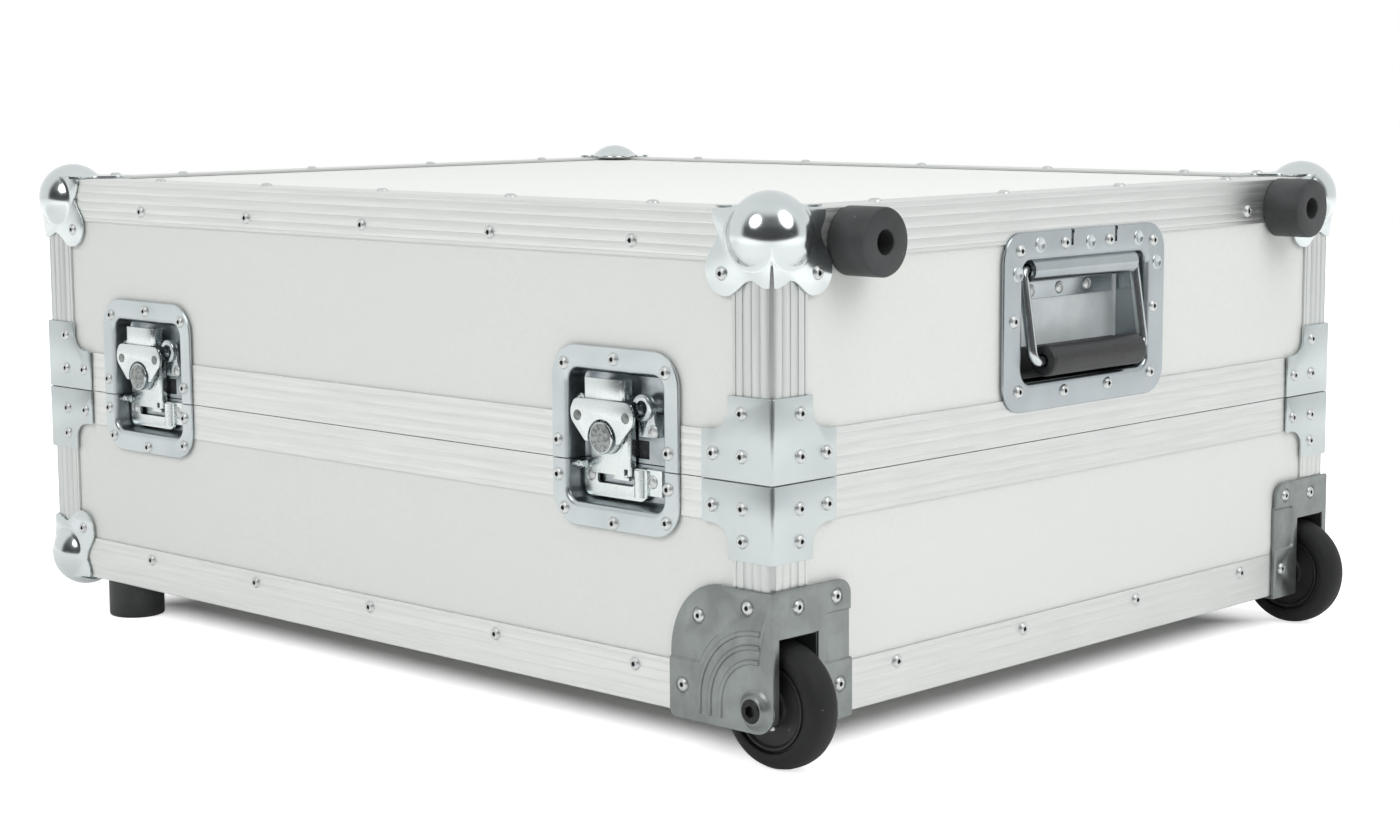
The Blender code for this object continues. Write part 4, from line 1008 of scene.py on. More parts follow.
def bracket_side():
    top, low, high, roof, curve = BRACKET + 1.0, 3.0, 36.6, WELL - 0.2, 10.0
    outer = [(-1.9, -1.9), (low, -1.9), (low, roof), (high, roof), (high, -1.9), (BRACKET_SIDE, -1.9)]
    outer += [(BRACKET_SIDE, 33.0), (BRACKET_SIDE - 1.2, 33.6), (BRACKET_SIDE - 1.2, top - curve)]
    outer += arc((BRACKET_SIDE - 1.2 - curve, top - curve), curve, 9.0, 90.0, 8) + [(-1.9, top)]
    fields = []
    for grow in (1.8, 0.0, 0.0):
        field = [(42.0 - grow, 33.0 - grow), (80.0, 33.0 - grow), (80.0, 61.0 + grow), (42.0 - grow, 61.0 + grow)]
        fields.append(rounded(field, 4.0))
    backing = [(39.2, 30.7), (BRACKET_SIDE - 1.2, 30.7), (BRACKET_SIDE - 1.2, 62.8), (39.2, 62.8)]
    sheet = cut(plate([outer], "yz", -2.3, -GAP), ramped(fields, (-3.4, -0.9, 5.0), "yz"))
    sheet = fuse(sheet, plate([backing], "yz", -0.9, 1.2))
    return cut(sheet, *[dimple("yz", u, v, level) for u, v, level in BRACKET_SIDE_RIVETS])


def bracket_floor():
    outer = [(-1.9, -1.9), (BRACKET - 0.5, -1.9), (BRACKET - 0.5, BRACKET_SIDE - 12.0)]
    outer += [(BRACKET - 12.0, BRACKET_SIDE - 0.5), (-1.9, BRACKET_SIDE - 0.5), (-1.9, 36.6)]
    outer += [(WELL - 0.9, 36.6), (WELL - 0.9, 4.0), (-1.9, 4.0)]
    return plate([outer], "xy", -2.1, -GAP - 0.1)


def bracket_housing():
    """The box that the wheel turns in, open to the end and below, and its tabs to the front plate."""
    box = block((-1.0, 2.2, -1.0), (WELL, WELL_DEPTH, WELL + 0.5))
    room = block((-8.0, -4.0, -8.0), (WELL - 1.5, WELL_DEPTH - 2.0, WELL - 1.0))
    roof_tab = block((43.0, -0.1, WELL - 0.7), (WELL - 0.4, 3.0, WELL + 0.2))
    end_tab = block((WELL - 1.2, -0.6, 30.6), (WELL - 0.3, 3.0, 40.0))
    return cut(box, room), roof_tab, end_tab


def outward_of_front(u, w, level):
    """Sets a turned shape at a spot of the front plate, facing out."""
    return Matrix.Translation(Vector((u, level, w)) * MM) @ Matrix.Rotation(math.pi / 2, 4, "X")


def bracket_bosses():
    middle = AXLE_INSET
    dome = [(0.0, 1.5), (6.2, 1.5), (6.2, 4.7), (7.2, 4.7), (8.0, 4.6), (8.8, 4.0), (9.6, 2.6), (10.8, 1.1), (12.6, 0.2)]
    dome += [(13.6, -0.8), (0.0, -0.8)]
    outer = rod((middle, -1.0, middle), (middle, WHEEL_FACES[0] - 0.5, middle), 9.0)
    inner = rod((middle, WHEEL_FACES[1] + 0.5, middle), (middle, WELL_DEPTH - 1.0, middle), 9.0)
    axle = rod((middle, -2.0, middle), (middle, WELL_DEPTH - 0.6, middle), AXLE_RADIUS)
    return turned(dome, outward_of_front(middle, middle, -2.0), 48, closed=False), outer, inner, axle


def bracket_ribs():
    ribs = []
    for radius in (27.5, 36.0, 44.0):
        points = arc((AXLE_INSET, AXLE_INSET), radius, 0.0, 93.0, 20)
        points = [(points[0][0], 3.5)] + points
        ribs.append(tube([(u, -2.1, w) for u, w in points], 1.7, 3))
        ribs += [ball((points[0][0], -2.1, 3.5), 1.7), ball((points[-1][0], -2.1, points[-1][1]), 1.7)]
    return ribs


def ball(middle, radius):
    bm = bmesh.new()
    place = Matrix.Translation(Vector(middle) * MM)
    bmesh.ops.create_uvsphere(bm, u_segments=20, v_segments=12, radius=radius * MM, matrix=place)
    return shape(bm)


def bracket_corner():
    """What the rounded lower corner of the front plate leaves out."""
    middle = AXLE_INSET
    return cut(block((-9.0, -9.0, -9.0), (middle, 4.2, middle)), rod((middle, -20.0, middle), (middle, 20.0, middle), 13.9, 64))


def axle_bolt():
    """A socket-head bolt: a chamfered black head with a six-sided recess."""
    profile = [(0.0, 5.4), (6.4, 5.4), (7.2, 4.7), (7.3, 2.0), (0.0, 2.0)]
    head = turned(profile, outward_of_front(AXLE_INSET, AXLE_INSET, -2.0), 48, closed=False)
    socket = rod((AXLE_INSET, -9.0, AXLE_INSET), (AXLE_INSET, -4.4, AXLE_INSET), 3.7, 6)
    return cut(head, socket)


def tyre_profile():
    half = (WHEEL_FACES[1] - WHEEL_FACES[0]) / 2
    side = [(HUB_RADIUS, half - 2.2), (HUB_RADIUS + 0.8, half - 0.4), (28.0, half), (30.5, half)]
    side += [(33.2, half - 0.9), (35.3, half - 2.9), (36.7, half - 5.6), (37.4, half - 9.0), (WHEEL_RADIUS, 0.0)]
    return side + [(radius, -height) for radius, height in side[-2::-1]]


def hub_profile():
    half = (WHEEL_FACES[1] - WHEEL_FACES[0]) / 2
    side = [(AXLE_RADIUS + 0.4, half - 1.0), (11.5, half - 1.0), (12.5, half - 2.8), (16.0, half - 3.4)]
    side += [(22.5, half - 2.6), (24.0, half - 1.3), (25.2, half - 1.3), (25.7, half - 2.6), (HUB_RADIUS, half - 2.8)]
    return side + [(radius, -height) for radius, height in side[::-1]]


def castors(rivet):
    bracket = fuse(bracket_front(), bracket_side(), bracket_floor(), *bracket_housing())
    bracket = fuse(cut(bracket, bracket_corner()), *bracket_bosses(), *bracket_ribs())
    bracket = eased(bracket, 0.3)
    bolt = axle_bolt()
    upright = Matrix.Rotation(math.pi / 2, 4, "X")
    tyre = turned(tyre_profile(), upright, 96)
    hub = turned(hub_profile(), upright, 72)
    middle = sum(WHEEL_FACES) / 2
    places = []
    for side, y, into_y in (("front", FRONT, 1.0), ("back", BACK, -1.0)):
        corner = setting((RIGHT, y, BOTTOM), (-1.0, into_y, 1.0))
        name = f"castor_{side}"
        dress(moved(bracket, corner), name + "_bracket_plate", "base", DULL, (name + "_bracket",), smooth=25.0)
        dress(moved(bolt, corner), name + "_axle_bolt", "base", BLACK_STEEL)
        axle = setting((RIGHT - AXLE_INSET, y + into_y * middle, BOTTOM + AXLE_INSET), (1.0, into_y, 1.0))
        dress(moved(tyre, axle), name + "_tyre", name + "_wheel", TYRE, (name + "_wheel",))
        dress(moved(hub, axle), name + "_hub", name + "_wheel", HUB)
        for u, w, level in BRACKET_FRONT_RIVETS:
            places.append((side, (RIGHT - u, y + into_y * (level + SEAT), BOTTOM + w)))
        for v, w, level in BRACKET_SIDE_RIVETS:
            places.append(("right", (RIGHT - level - SEAT, y + into_y * v, BOTTOM + w)))
    for source in (bracket, bolt, tyre, hub):
        discard(source)
    rivet_row("castor_rivets", "base", rivet, places)


# Feet

def foot():
    """A rubber foot hung from its fixing face at height 0, with a counterbore in its end."""
    length = FOOT_LENGTH
    low = [(FOOT_RADIUS, -length + 1.6), (FOOT_RADIUS - 0.5, -length + 0.5), (FOOT_RADIUS - 1.6, -length)]
    lip = [(FOOT_BORE + 0.6, -length), (FOOT_BORE, -length + 0.6), (FOOT_BORE, -length + 17.0)]
    return turned([(0.0, 0.0), (FOOT_RADIUS, 0.0), *low, *lip, (0.0, -length + 17.0)], Matrix.Identity(4), 72, closed=False)


def foot_screw():
    """The screw at the bottom of the counterbore."""
    floor = 17.0 - FOOT_LENGTH
    profile = [(0.0, floor - 2.6), (3.6, floor - 2.2), (5.4, floor - 0.6), (5.6, floor + 0.4), (0.0, floor + 0.4)]
    head = turned(profile, Matrix.Identity(4), 32, closed=False)
    slots = [block((-2.6, -0.5, floor - 4.0), (2.6, 0.5, floor - 1.4)), block((-0.5, -2.6, floor - 4.0), (0.5, 2.6, floor - 1.4))]
    return cut(head, *slots)


def feet():
    source, screw = foot(), foot_screw()
    down = [("base", side, node_middle(f"base_foot_{side}"), Matrix.Identity(4)) for side in ("front", "back")]
    sideways = Matrix.Rotation(-math.pi / 2, 4, "Y")
    out = [("lid", side, node_middle(f"lid_foot_{side}"), sideways) for side in ("front", "back")]
    for body, side, middle, turn in down + out:
        name = f"{body}_foot_{side}"
        face = Vector((0.0, 0.0, FOOT_LENGTH / 2)) * MM
        place = Matrix.Translation(middle) @ turn @ Matrix.Translation(face)
        dress(moved(source, place), name + "_rubber", body, FOOT, (name,))
        dress(moved(screw, place), name + "_screw", body, ZINC)
    discard(source)
    discard(screw)


def node_middle(name):
    low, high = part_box(name)
    return (low + high) / 2


# Latches, in axes from the dish's middle on the joint line: x across, y inward, z up

def dish_rings(flange, opening, floor, depth, radii, centre, plane):
    """Rings of a pressed dish: the floor, the wall, a rolled lip, the flange and back under."""
    flange_radius, opening_radius, floor_radius = radii
    floor_fillet = [(-3.0, 0.0), (-1.3, 0.35), (-0.3, 1.4)]
    lip = [(0.0, 3.4), (0.15, 2.3), (0.6, 1.3), (1.4, 0.5), (2.4, 0.1), (3.4, 0.0)]
    levels = [(floor[0] + d, floor[1] + d, floor_radius + d / 2, depth - up) for d, up in floor_fillet]
    levels += [(opening[0] + d, opening[1] + d, opening_radius + d, FACE + up) for d, up in lip]
    levels += [
        (flange[0] - 0.5, flange[1] - 0.5, flange_radius - 0.5, FACE),
        (flange[0], flange[1], flange_radius, FACE + 0.5),
        (flange[0], flange[1], flange_radius, -GAP),
        (opening[0] + SHEET, opening[1] + SHEET, opening_radius + SHEET, -GAP),
        (floor[0] + SHEET, floor[1] + SHEET, floor_radius + SHEET, depth + SHEET),
    ]
    rings = []
    for half_u, half_v, radius, level in levels:
        outline = rounded_rectangle(half_u, half_v, radius, centre=centre)
        rings.append([(u, level, v) if plane == "xz" else (-level, u, v) for u, v in outline])
    return rings


def latch_dish():
    opening = (LATCH_OPENING, LATCH_OPENING)
    floor = (LATCH_OPENING - 1.5, LATCH_OPENING - 1.5)
    return loft(dish_rings(LATCH_FLANGE, opening, floor, LATCH_DEPTH, (20.0, 8.0, 6.0), (0.0, LATCH_CENTRE), "xz"))


def upper_dish():
    whole = latch_dish()
    half = half_of(whole, 0.35, keep_above=True)
    discard(whole)
    return cut(half, block((4.0, 11.0, 3.0), (15.0, 18.0, 14.0)))


def lower_dish():
    whole = latch_dish()
    half = half_of(whole, -0.35, keep_above=False)
    discard(whole)
    return half


def padlock_eye():
    """A folded eye that stands forward of the dish, with its foot riveted to the floor."""
    back = LATCH_DEPTH + 0.4
    ring = eased(rod((17.5, 4.0, 35.0), (17.5, 8.5, 35.0), 8.0), 0.9, 3)
    stem = eased(block((12.0, 7.0, 17.0), (26.0, 9.0, 33.0)), 0.7)
    foot_block = block((20.0, 8.5, 17.0), (26.0, back, 30.0))
    eye = fuse(ring, stem, foot_block)
    return eased(cut(eye, rod((17.5, 2.0, 35.0), (17.5, 12.0, 35.0), 4.3)), 0.35)


def guide_lug():
    """A small pierced lug by the hook's head, and the block that guides the head."""
    back = LATCH_DEPTH + 0.4
    middle = (-34.0, 34.8)
    lug = rod((middle[0], 4.5, middle[1]), (middle[0], 7.0, middle[1]), 4.8)
    post = block((-36.5, 6.5, 31.5), (-31.5, back, 35.0))
    guide = block((STUD[0] - 9.0, 9.2, 40.0), (STUD[0] + 9.0, back, 48.0))
    hole = rod((middle[0], 2.0, middle[1]), (middle[0], 9.0, middle[1]), 2.5, 28)
    return eased(cut(fuse(lug, post, guide), hole), 0.5)


def keeper():
    """The plate that the hook's nose drops into: a slot, a raised fold and a riveted tab."""
    middle, back = STUD[0], LATCH_DEPTH + 0.4
    outer = [(middle - 25, -2.5), (middle - 25, -19), (middle - 22, -22), (middle + 24, -22), (middle + 28, -19)]
    outer += [(middle + 28, -2.5), (middle + 17, -2.5), (middle + 17, -14), (middle - 14, -14), (middle - 14, -2.5)]
    face = plate([rounded(outer, 2.5)], "xz", 9.0, 10.8)
    ridge = rod((middle + 21.6, 10.6, -19.5), (middle + 21.6, 10.6, -3.2), 4.3)
    legs = [block((middle - 25, 9.5, -17), (middle - 23, back, -4)), block((middle + 26, 9.5, -17), (middle + 28, back, -4))]
    tab = block((middle + 25, 10.2, -18), (middle + 39, back, -2.5))
    return eased(fuse(face, ridge, *legs, tab), 0.45)


def joint_roll():
    """The short roll at the joint line between the dish's left wall and the hook."""
    barrel = rod((-38.9, 3.0, -2.7), (-28.4, 3.0, -2.7), 2.2)
    collars = [rod((start, 3.0, -2.7), (start + 1.4, 3.0, -2.7), 2.6) for start in (-34.2, -29.9)]
    stay = block((-38.9, 3.0, -4.2), (-36.0, LATCH_DEPTH + 0.4, -1.4))
    return eased(fuse(barrel, *collars, stay), 0.4)


def stud():
    """The stud's barrel, with the eccentric that moves the hook and the pin that carries the wing."""
    x, z = STUD
    barrel = [(0.0, 2.0), (8.9, 2.0), (9.5, 1.7), (STUD_RADIUS, 1.1), (STUD_RADIUS, -1.4), (9.3, -1.7), (9.3, -2.4)]
    barrel += [(STUD_RADIUS, -2.7), (STUD_RADIUS, -5.6), (0.0, -5.6)]
    body = turned(barrel, outward_of_front(x, z, 0.0), 56, closed=False)
    eccentric = rod((x, 5.0, z + ECCENTRIC), (x, 8.6, z + ECCENTRIC), 6.5)
    journal = rod((x, 8.2, z), (x, LATCH_DEPTH - 0.4, z), 9.0)
    pin = rod((x - 14.8, WING_PIVOT, z), (x + 14.8, WING_PIVOT, z), 1.4, 20)
    return fuse(body, eccentric, journal, pin)


def wing():
    """The folding wing: a shield round the stud, on two rolled lugs."""
    x, z = STUD
    left = [(-12.6, -2.7), (-14.5, -2.7), (-25.8, 9.0), (-26.7, 13.0), (-26.2, 17.0), (-23.4, 21.5), (-20.2, 22.5)]
    right = [(-p, q) for p, q in left[::-1]]
    shoulders = rounded(left + right, 2.0)
    bay = arc((0.0, -0.9), 12.0, 0.0, 180.0, 28)
    outline = [(x + p, z + q) for p, q in shoulders + bay]
    body = plate([outline], "xz", -1.0, 0.8)
    lugs = []
    for low, high in ((-14.2, -12.2), (12.2, 14.2)):
        lugs.append(block((x + low, -0.5, z - 2.0), (x + high, WING_PIVOT, z + 2.6)))
        lugs.append(rod((x + low, WING_PIVOT, z), (x + high, WING_PIVOT, z), 2.9, 28))
    bore = rod((x - 20, WING_PIVOT, z), (x + 20, WING_PIVOT, z), 1.8, 20)
    return eased(cut(fuse(body, *lugs), bore), 0.35)


def bent_edge(across, level, end, low, high):
    """A strip bent back through a quarter turn along the hook's right edge."""
    middle = (across, level + 2.8)
    outer, inner = arc(middle, 2.8, -90.0, 0.0, 6), arc(middle, 1.0, 0.0, -90.0, 6)
    return plate([outer + [(across + 2.8, end), (across + 1.0, end)] + inner], "xy", low, high)


def hook():
    """The hook plate: a head cranked forward, right edges bent back, a rimmed slot and a nose."""
    x, z = STUD
    right = x + 13.2
    section = [(6.0, -7.5), (6.0, 32.0), (1.2, 37.2), (1.2, 50.0), (3.0, 50.0), (3.0, 38.0), (7.8, 32.8), (7.8, -7.5)]
    body = plate([section], "yz", x - 16.0, right + 0.1)
    edges = [bent_edge(right, 6.0, 11.6, -7.5, 33.0), bent_edge(right, 1.2, 9.0, 38.0, 50.0)]
    nose = block((x - 1.0, 7.0, -7.2), (x + 13.0, 12.0, -6.0)), block((x - 1.0, 8.6, -10.6), (x + 13.0, 12.0, -6.4))
    rim = turned([(10.4, 0.25), (11.9, 0.25), (11.9, -0.5), (10.4, -0.5)], outward_of_front(x, z, 6.0), 56)
    slot = plate([rounded_rectangle(8.7, 7.2, 6.6, 6, (x, z + ECCENTRIC))], "xz", 4.0, 10.0)
    notch = block((x + 11.6, 4.0, -8.5), (x + 14.4, 13.0, -3.4))
    return eased(cut(fuse(body, *edges, *nose, rim), slot, notch), 0.35)


def two_tone(obj, first, second, chosen):
    """Gives the faces that the test chooses, by their middle in millimetres, the second material."""
    obj.data.materials.append(first)
    obj.data.materials.append(second)
    for face in obj.data.polygons:
        face.material_index = 1 if chosen(face.center / MM) else 0
    return obj


def latches(rivet, pin, flat):
    # Faces inside the dish take the darker zinc: painted shade in the recess.
    def painted_shade_inside(place):
        return place.y > FACE + 1.1

    sources = {
        "upper_dish": (two_tone(upper_dish(), FLANGE_ZINC, SHADED_ZINC, painted_shade_inside), "lid", FLANGE_ZINC, True),
        "padlock_eye": (padlock_eye(), "lid", WORKED_ZINC, False),
        "guide_lug": (guide_lug(), "lid", WORKED_ZINC, False),
        "lower_dish": (two_tone(lower_dish(), FLANGE_ZINC, SHADED_ZINC, painted_shade_inside), "base", FLANGE_ZINC, True),
        "keeper": (keeper(), "base", ZINC, False),
        "joint_roll": (joint_roll(), "base", WORKED_ZINC, False),
        "cam": (stud(), "cam", WORKED_ZINC, True),
        "wing": (wing(), "wing", ZINC, True),
        "hook": (hook(), "hook", ZINC, True),
    }
    for side, x in LATCH_X.items():
        place = setting((x, FRONT, JOINT))
        for kind, (source, body, material, stands) in sources.items():
            name = f"latch_{side}_{kind}"
            on = body if body in ("lid", "base") else f"latch_{side}_{body}"
            dress(moved(source, place), name + "_metal", on, material, (name,) if stands else ())
        stud_face(side, place)
        latch_rivets(side, x, rivet, pin, flat)
    for source, _, _, _ in sources.values():
        discard(source)


def stud_face(side, place):
    """A rough cast disc on the stud's end."""
    profile = [(0.0, 2.3), (5.0, 2.27), (8.0, 2.2), (8.7, 1.95), (8.7, 1.5), (0.0, 1.5)]
    disc = turned(profile, outward_of_front(STUD[0], STUD[1], 0.0), 48, closed=False)
    dress(moved(disc, place), f"latch_{side}_stud_face", f"latch_{side}_cam", CAST)
    discard(disc)


def latch_rivets(side, x, rivet, pin, flat):
    """Rivets of one latch, from its dish's middle: the flange's, the wing's, the eye's and the keeper's."""
    upper = ((-42.5, 57.7), (0.0, 62.7), (42.5, 57.7), (-48.0, 11.0), (44.5, 11.0))
    lower = ((-48.0, -10.0), (44.5, -10.0), (-43.0, -30.0), (-1.0, -35.0), (43.0, -30.0))
    for body, spots in (("lid", upper), ("base", lower)):
        places = [("front", (x + u, FRONT + FACE, JOINT + v)) for u, v in spots]
        rivet_row(f"latch_{side}_{body}_rivets", body, rivet, places)
    heads = [("front", (x + u, FRONT - 1.0, JOINT + v)) for u, v in ((-31.7, 27.0), (9.0, 28.3))]
    rivet_row(f"latch_{side}_wing_rivets", f"latch_{side}_wing", pin, heads)
    rivet_row(f"latch_{side}_eye_rivet", "lid", flat, [("front", (x + 24.2, FRONT + 7.0, JOINT + 21.0))])
    low = [(-30.5, 9.0, -9.5), (20.2, 10.2, -9.6)]
    places = [("front", (x + u, FRONT + level, JOINT + v)) for u, level, v in low]
    rivet_row(f"latch_{side}_keeper_rivets", "base", flat, places)


# Handles, in axes from the end plane: x outward, y along the depth, z from the body's bottom

def handle_dish():
    """The pressed dish, the rolled tube that holds the bail's spring, and the strip behind it."""
    floor = (HANDLE_OPENING[0] - 2.5, HANDLE_OPENING[1] - 2.5)
    rings = dish_rings(HANDLE_FLANGE, HANDLE_OPENING, floor, HANDLE_DEPTH, (18.0, 8.0, 6.0), (0.0, HANDLE_CENTRE), "yz")
    out, height = BAIL_PIVOT
    half = BAIL_HALF - WIRE_RADIUS - 0.8
    roll = rod((out, -half, height), (out, half, height), 7.5, 48)
    web = block((out - 4.0, -half, height + 2.0), (out + 4.0, half, HANDLE_CENTRE + HANDLE_OPENING[1] + 0.8))
    strip = eased(block((-HANDLE_DEPTH - 0.5, -58.0, 226.0), (-HANDLE_DEPTH + 2.2, 58.0, 250.0)), 0.6)
    dish = fuse(loft(rings), roll, eased(web, 1.5), strip)
    bores = [
        rod((out, side * (half - 9.0), height), (out, side * (half + 5.0), height), WIRE_RADIUS + 0.7)
        for side in (-1.0, 1.0)
    ]
    slits = [block((-1.0, middle - 1.2, 260.6), (4.0, middle + 1.2, 280.0)) for middle in (-16.0, 31.0)]
    tabs = [block((0.4, middle + 0.9, 268.0), (2.6, middle + 3.0, 270.2)) for middle in (-16.0, 31.0)]
    return fuse(cut(dish, *bores, *slits), *tabs)


def painted_shade_pad():
    """A thin black strip low in the dish, under and behind the grip: painted shade standing for the grip's shadow."""
    half = HANDLE_OPENING[0] - 4.0
    low = HANDLE_CENTRE - HANDLE_OPENING[1] + 1.9
    floor_strip = block((-HANDLE_DEPTH - 0.2, -half, low), (-HANDLE_DEPTH + 1.4, half, low + 17.0))
    shelf = block((-HANDLE_DEPTH - 0.2, -half, low), (-2.5, half, low + 1.3))
    return eased(fuse(floor_strip, shelf), 0.5)


def bend(before, corner, after, radius, steps=8):
    """A rounded corner between two straight runs."""
    start = corner + (before - corner).normalized() * radius
    end = corner + (after - corner).normalized() * radius
    return [start * (1 - t) ** 2 + corner * 2 * t * (1 - t) + end * t**2 for t in (s / steps for s in range(steps + 1))]


def bail():
    """The wire: in at one end of the roll, down, through the grip and back up."""
    top = Vector((BAIL_PIVOT[0], BAIL_HALF, BAIL_PIVOT[1]))
    low = Vector((BAIL_GRIP[0], BAIL_HALF, BAIL_GRIP[1]))
    inner_top = top - Vector((0.0, WIRE_RADIUS + 0.8 + 7.0, 0.0))
    inner_low = Vector((BAIL_GRIP[0], 0.0, BAIL_GRIP[1]))
    half = [inner_top] + bend(inner_top, top, low, 4.5) + bend(top, low, inner_low, 7.5)
    other = [Vector((p.x, -p.y, p.z)) for p in half[::-1]]
    return tube(half + other, WIRE_RADIUS, 6)


def grip():
    """A moulded sleeve with eased ends and a faint waist."""
    bore, radius, half = WIRE_RADIUS + 0.4, GRIP_RADIUS, GRIP_HALF
    end = [(bore, half - 1.2), (bore + 0.6, half), (radius - 2.2, half), (radius - 0.8, half - 0.5), (radius - 0.1, half - 1.8)]
    run = [(radius, half - 3.0), (radius - 0.15, half * 0.5), (radius - 0.2, 0.0)]
    side = end + run
    profile = side + [(r, -h) for r, h in side[-2::-1]]
    place = Matrix.Translation(Vector((BAIL_GRIP[0], 0.0, BAIL_GRIP[1])) * MM)
    return turned(profile, place @ Matrix.Rotation(math.pi / 2, 4, "X"), 64)


def handles(rivet, clinch, flat):
    # The flat floor takes the lighter zinc: painted light on the dish's floor.
    def flat_floor(place):
        return place.x < 1.0 - HANDLE_DEPTH

    dish, wire, sleeve, shade_pad = handle_dish(), bail(), grip(), painted_shade_pad()
    two_tone(dish, HANDLE_ZINC, MATT_PAINTED_LIGHT_ZINC, flat_floor)
    domed = ((-69.4, 259.5), (-23.3, 262.5), (24.1, 262.1), (72.9, 259.2), (-75.6, 216.4), (73.4, 216.2))
    domed += ((-70.5, 172.6), (-23.4, 169.4), (23.6, 169.9), (71.1, 173.1))
    ringed = ((-49.2, 262.3), (3.9, 261.5), (56.6, 261.6), (-71.7, 245.2), (77.6, 244.8))
    small = ((-30.0, 231.5), (0.0, 232.0), (30.0, 232.5))
    for side, plane, outward_sign in (("right", RIGHT, 1.0), ("left", LEFT, -1.0)):
        place = setting((plane, 0.0, BOTTOM), (outward_sign, 1.0, 1.0))
        name = f"handle_{side}"
        dress(moved(dish, place), name + "_dish_metal", "lid", HANDLE_ZINC, (name + "_dish",))
        # The black strip under the grip is painted shade.
        dress(moved(shade_pad, place), name + "_painted_shade_pad", "lid", HUB)
        dress(moved(wire, place), name + "_bail_wire", name, WIRE_ZINC, (name + "_bail",))
        dress(moved(sleeve, place), name + "_grip_sleeve", name, GRIP, (name + "_grip",))
        for kind, source, spots, level in (
            ("domed", rivet, domed, -FACE),
            ("clinched", clinch, ringed, -FACE),
            ("strip", flat, small, -HANDLE_DEPTH + 2.2),
        ):
            places = [(side, (plane + outward_sign * level, y, BOTTOM + z)) for y, z in spots]
            rivet_row(f"{name}_{kind}_rivets", "lid", source, places)
    for source in (dish, wire, sleeve, shade_pad):
        discard(source)


# Foam liners

def foam(name, body, low, high, pocket, holes):
    """A foam liner with softly cut edges and a slightly uneven skin."""
    left, right = LEFT + FOAM_INSET, RIGHT - FOAM_INSET
    front, back = FRONT + FOAM_INSET, BACK - FOAM_INSET
    outer = block((left, front, low), (right, back, high))
    wall = FOAM_WALL
    room = block((left + wall, front + wall, pocket[0]), (right - wall - 12.0, back - wall, pocket[1]))
    liner = eased(cut(outer, room, *holes), 1.6, 3)
    dress(liner, name + "_liner", body, FOAM, (name,))


def notch_rooms():
    half = LATCH_OPENING + 2.6
    middle = JOINT + LATCH_CENTRE
    return [
        block((x - half, FRONT - 5, middle - half), (x + half, FRONT + LATCH_DEPTH + 2.6, middle + half))
        for x in LATCH_X.values()
    ]


def foams():
    low = BOTTOM + PANEL_INNER + GAP
    wells = [
        block((RIGHT - WELL - 1.0, y0, low - 5), (RIGHT, y1, BOTTOM + WELL + 1.6))
        for y0, y1 in ((FRONT, FRONT + WELL_DEPTH + 1.0), (BACK - WELL_DEPTH - 1.0, BACK))
    ]
    foam("base_foam", "base", low, JOINT - 1.0, (low + FOAM_FLOOR, JOINT + 5.0), wells + notch_rooms())
    roof = TOP - PANEL_INNER - GAP
    half_y, half_z = HANDLE_OPENING[0] + 2.6, HANDLE_OPENING[1] + 2.6
    middle, reach = BOTTOM + HANDLE_CENTRE, HANDLE_DEPTH + 2.6
    windows = [
        block((plane - reach, -half_y, middle - half_z), (plane + reach, half_y, middle + half_z))
        for plane in (LEFT, RIGHT)
    ]
    foam("lid_foam", "lid", JOINT + 1.0, roof, (JOINT - 5.0, roof - FOAM_FLOOR), windows + notch_rooms())


# Stage

CAMERA_PLACE = (1335.5, -1370.0, 398.2)
CAMERA_YAW, CAMERA_PITCH, CAMERA_ROLL = 43.873, 7.377, -0.3315
CAMERA_LENS = 67.89
TOWARD_CAMERA = (0.693, -0.721)


def camera():
    data = bpy.data.cameras.new("camera")
    data.sensor_width = 36.0
    data.lens = CAMERA_LENS
    data.clip_start = 0.05
    data.clip_end = 50.0
    obj = bpy.data.objects.new("camera", data)
    obj.location = Vector(CAMERA_PLACE) * MM
    yaw, pitch, roll = map(math.radians, (CAMERA_YAW, CAMERA_PITCH, CAMERA_ROLL))
    look = Matrix.Rotation(yaw, 4, "Z") @ Matrix.Rotation(math.pi / 2 - pitch, 4, "X") @ Matrix.Rotation(roll, 4, "Z")
    obj.rotation_euler = look.to_euler()
    bpy.context.scene.collection.objects.link(obj)
    bpy.context.scene.camera = obj


def softbox(name, azimuth, elevation, distance, width, height, power):
    """An area lamp that faces the case from a direction given in degrees."""
    data = bpy.data.lights.new(name, "AREA")
    data.shape = "ELLIPSE"
    data.size, data.size_y = width, height
    data.energy = power
    obj = bpy.data.objects.new(name, data)
    a, e = math.radians(azimuth), math.radians(elevation)
    away = Vector((math.cos(a) * math.cos(e), math.sin(a) * math.cos(e), math.sin(e)))
    middle = Vector((0.0, 0.0, 0.16))
    obj.location = middle + away * distance
    obj.rotation_euler = away.to_track_quat("Z", "Y").to_euler()
    bpy.context.scene.collection.objects.link(obj)


def lamps():
    softbox("softbox_front", -84.0, 33.0, 2.6, 1.2, 1.3, 14.6)
    softbox("softbox_right", -2.0, 36.0, 2.6, 1.4, 1.8, 18.6)
    softbox("overhead", 50.0, 82.0, 2.4, 2.4, 2.4, 24.5)
    bpy.data.objects["overhead"].visible_glossy = False


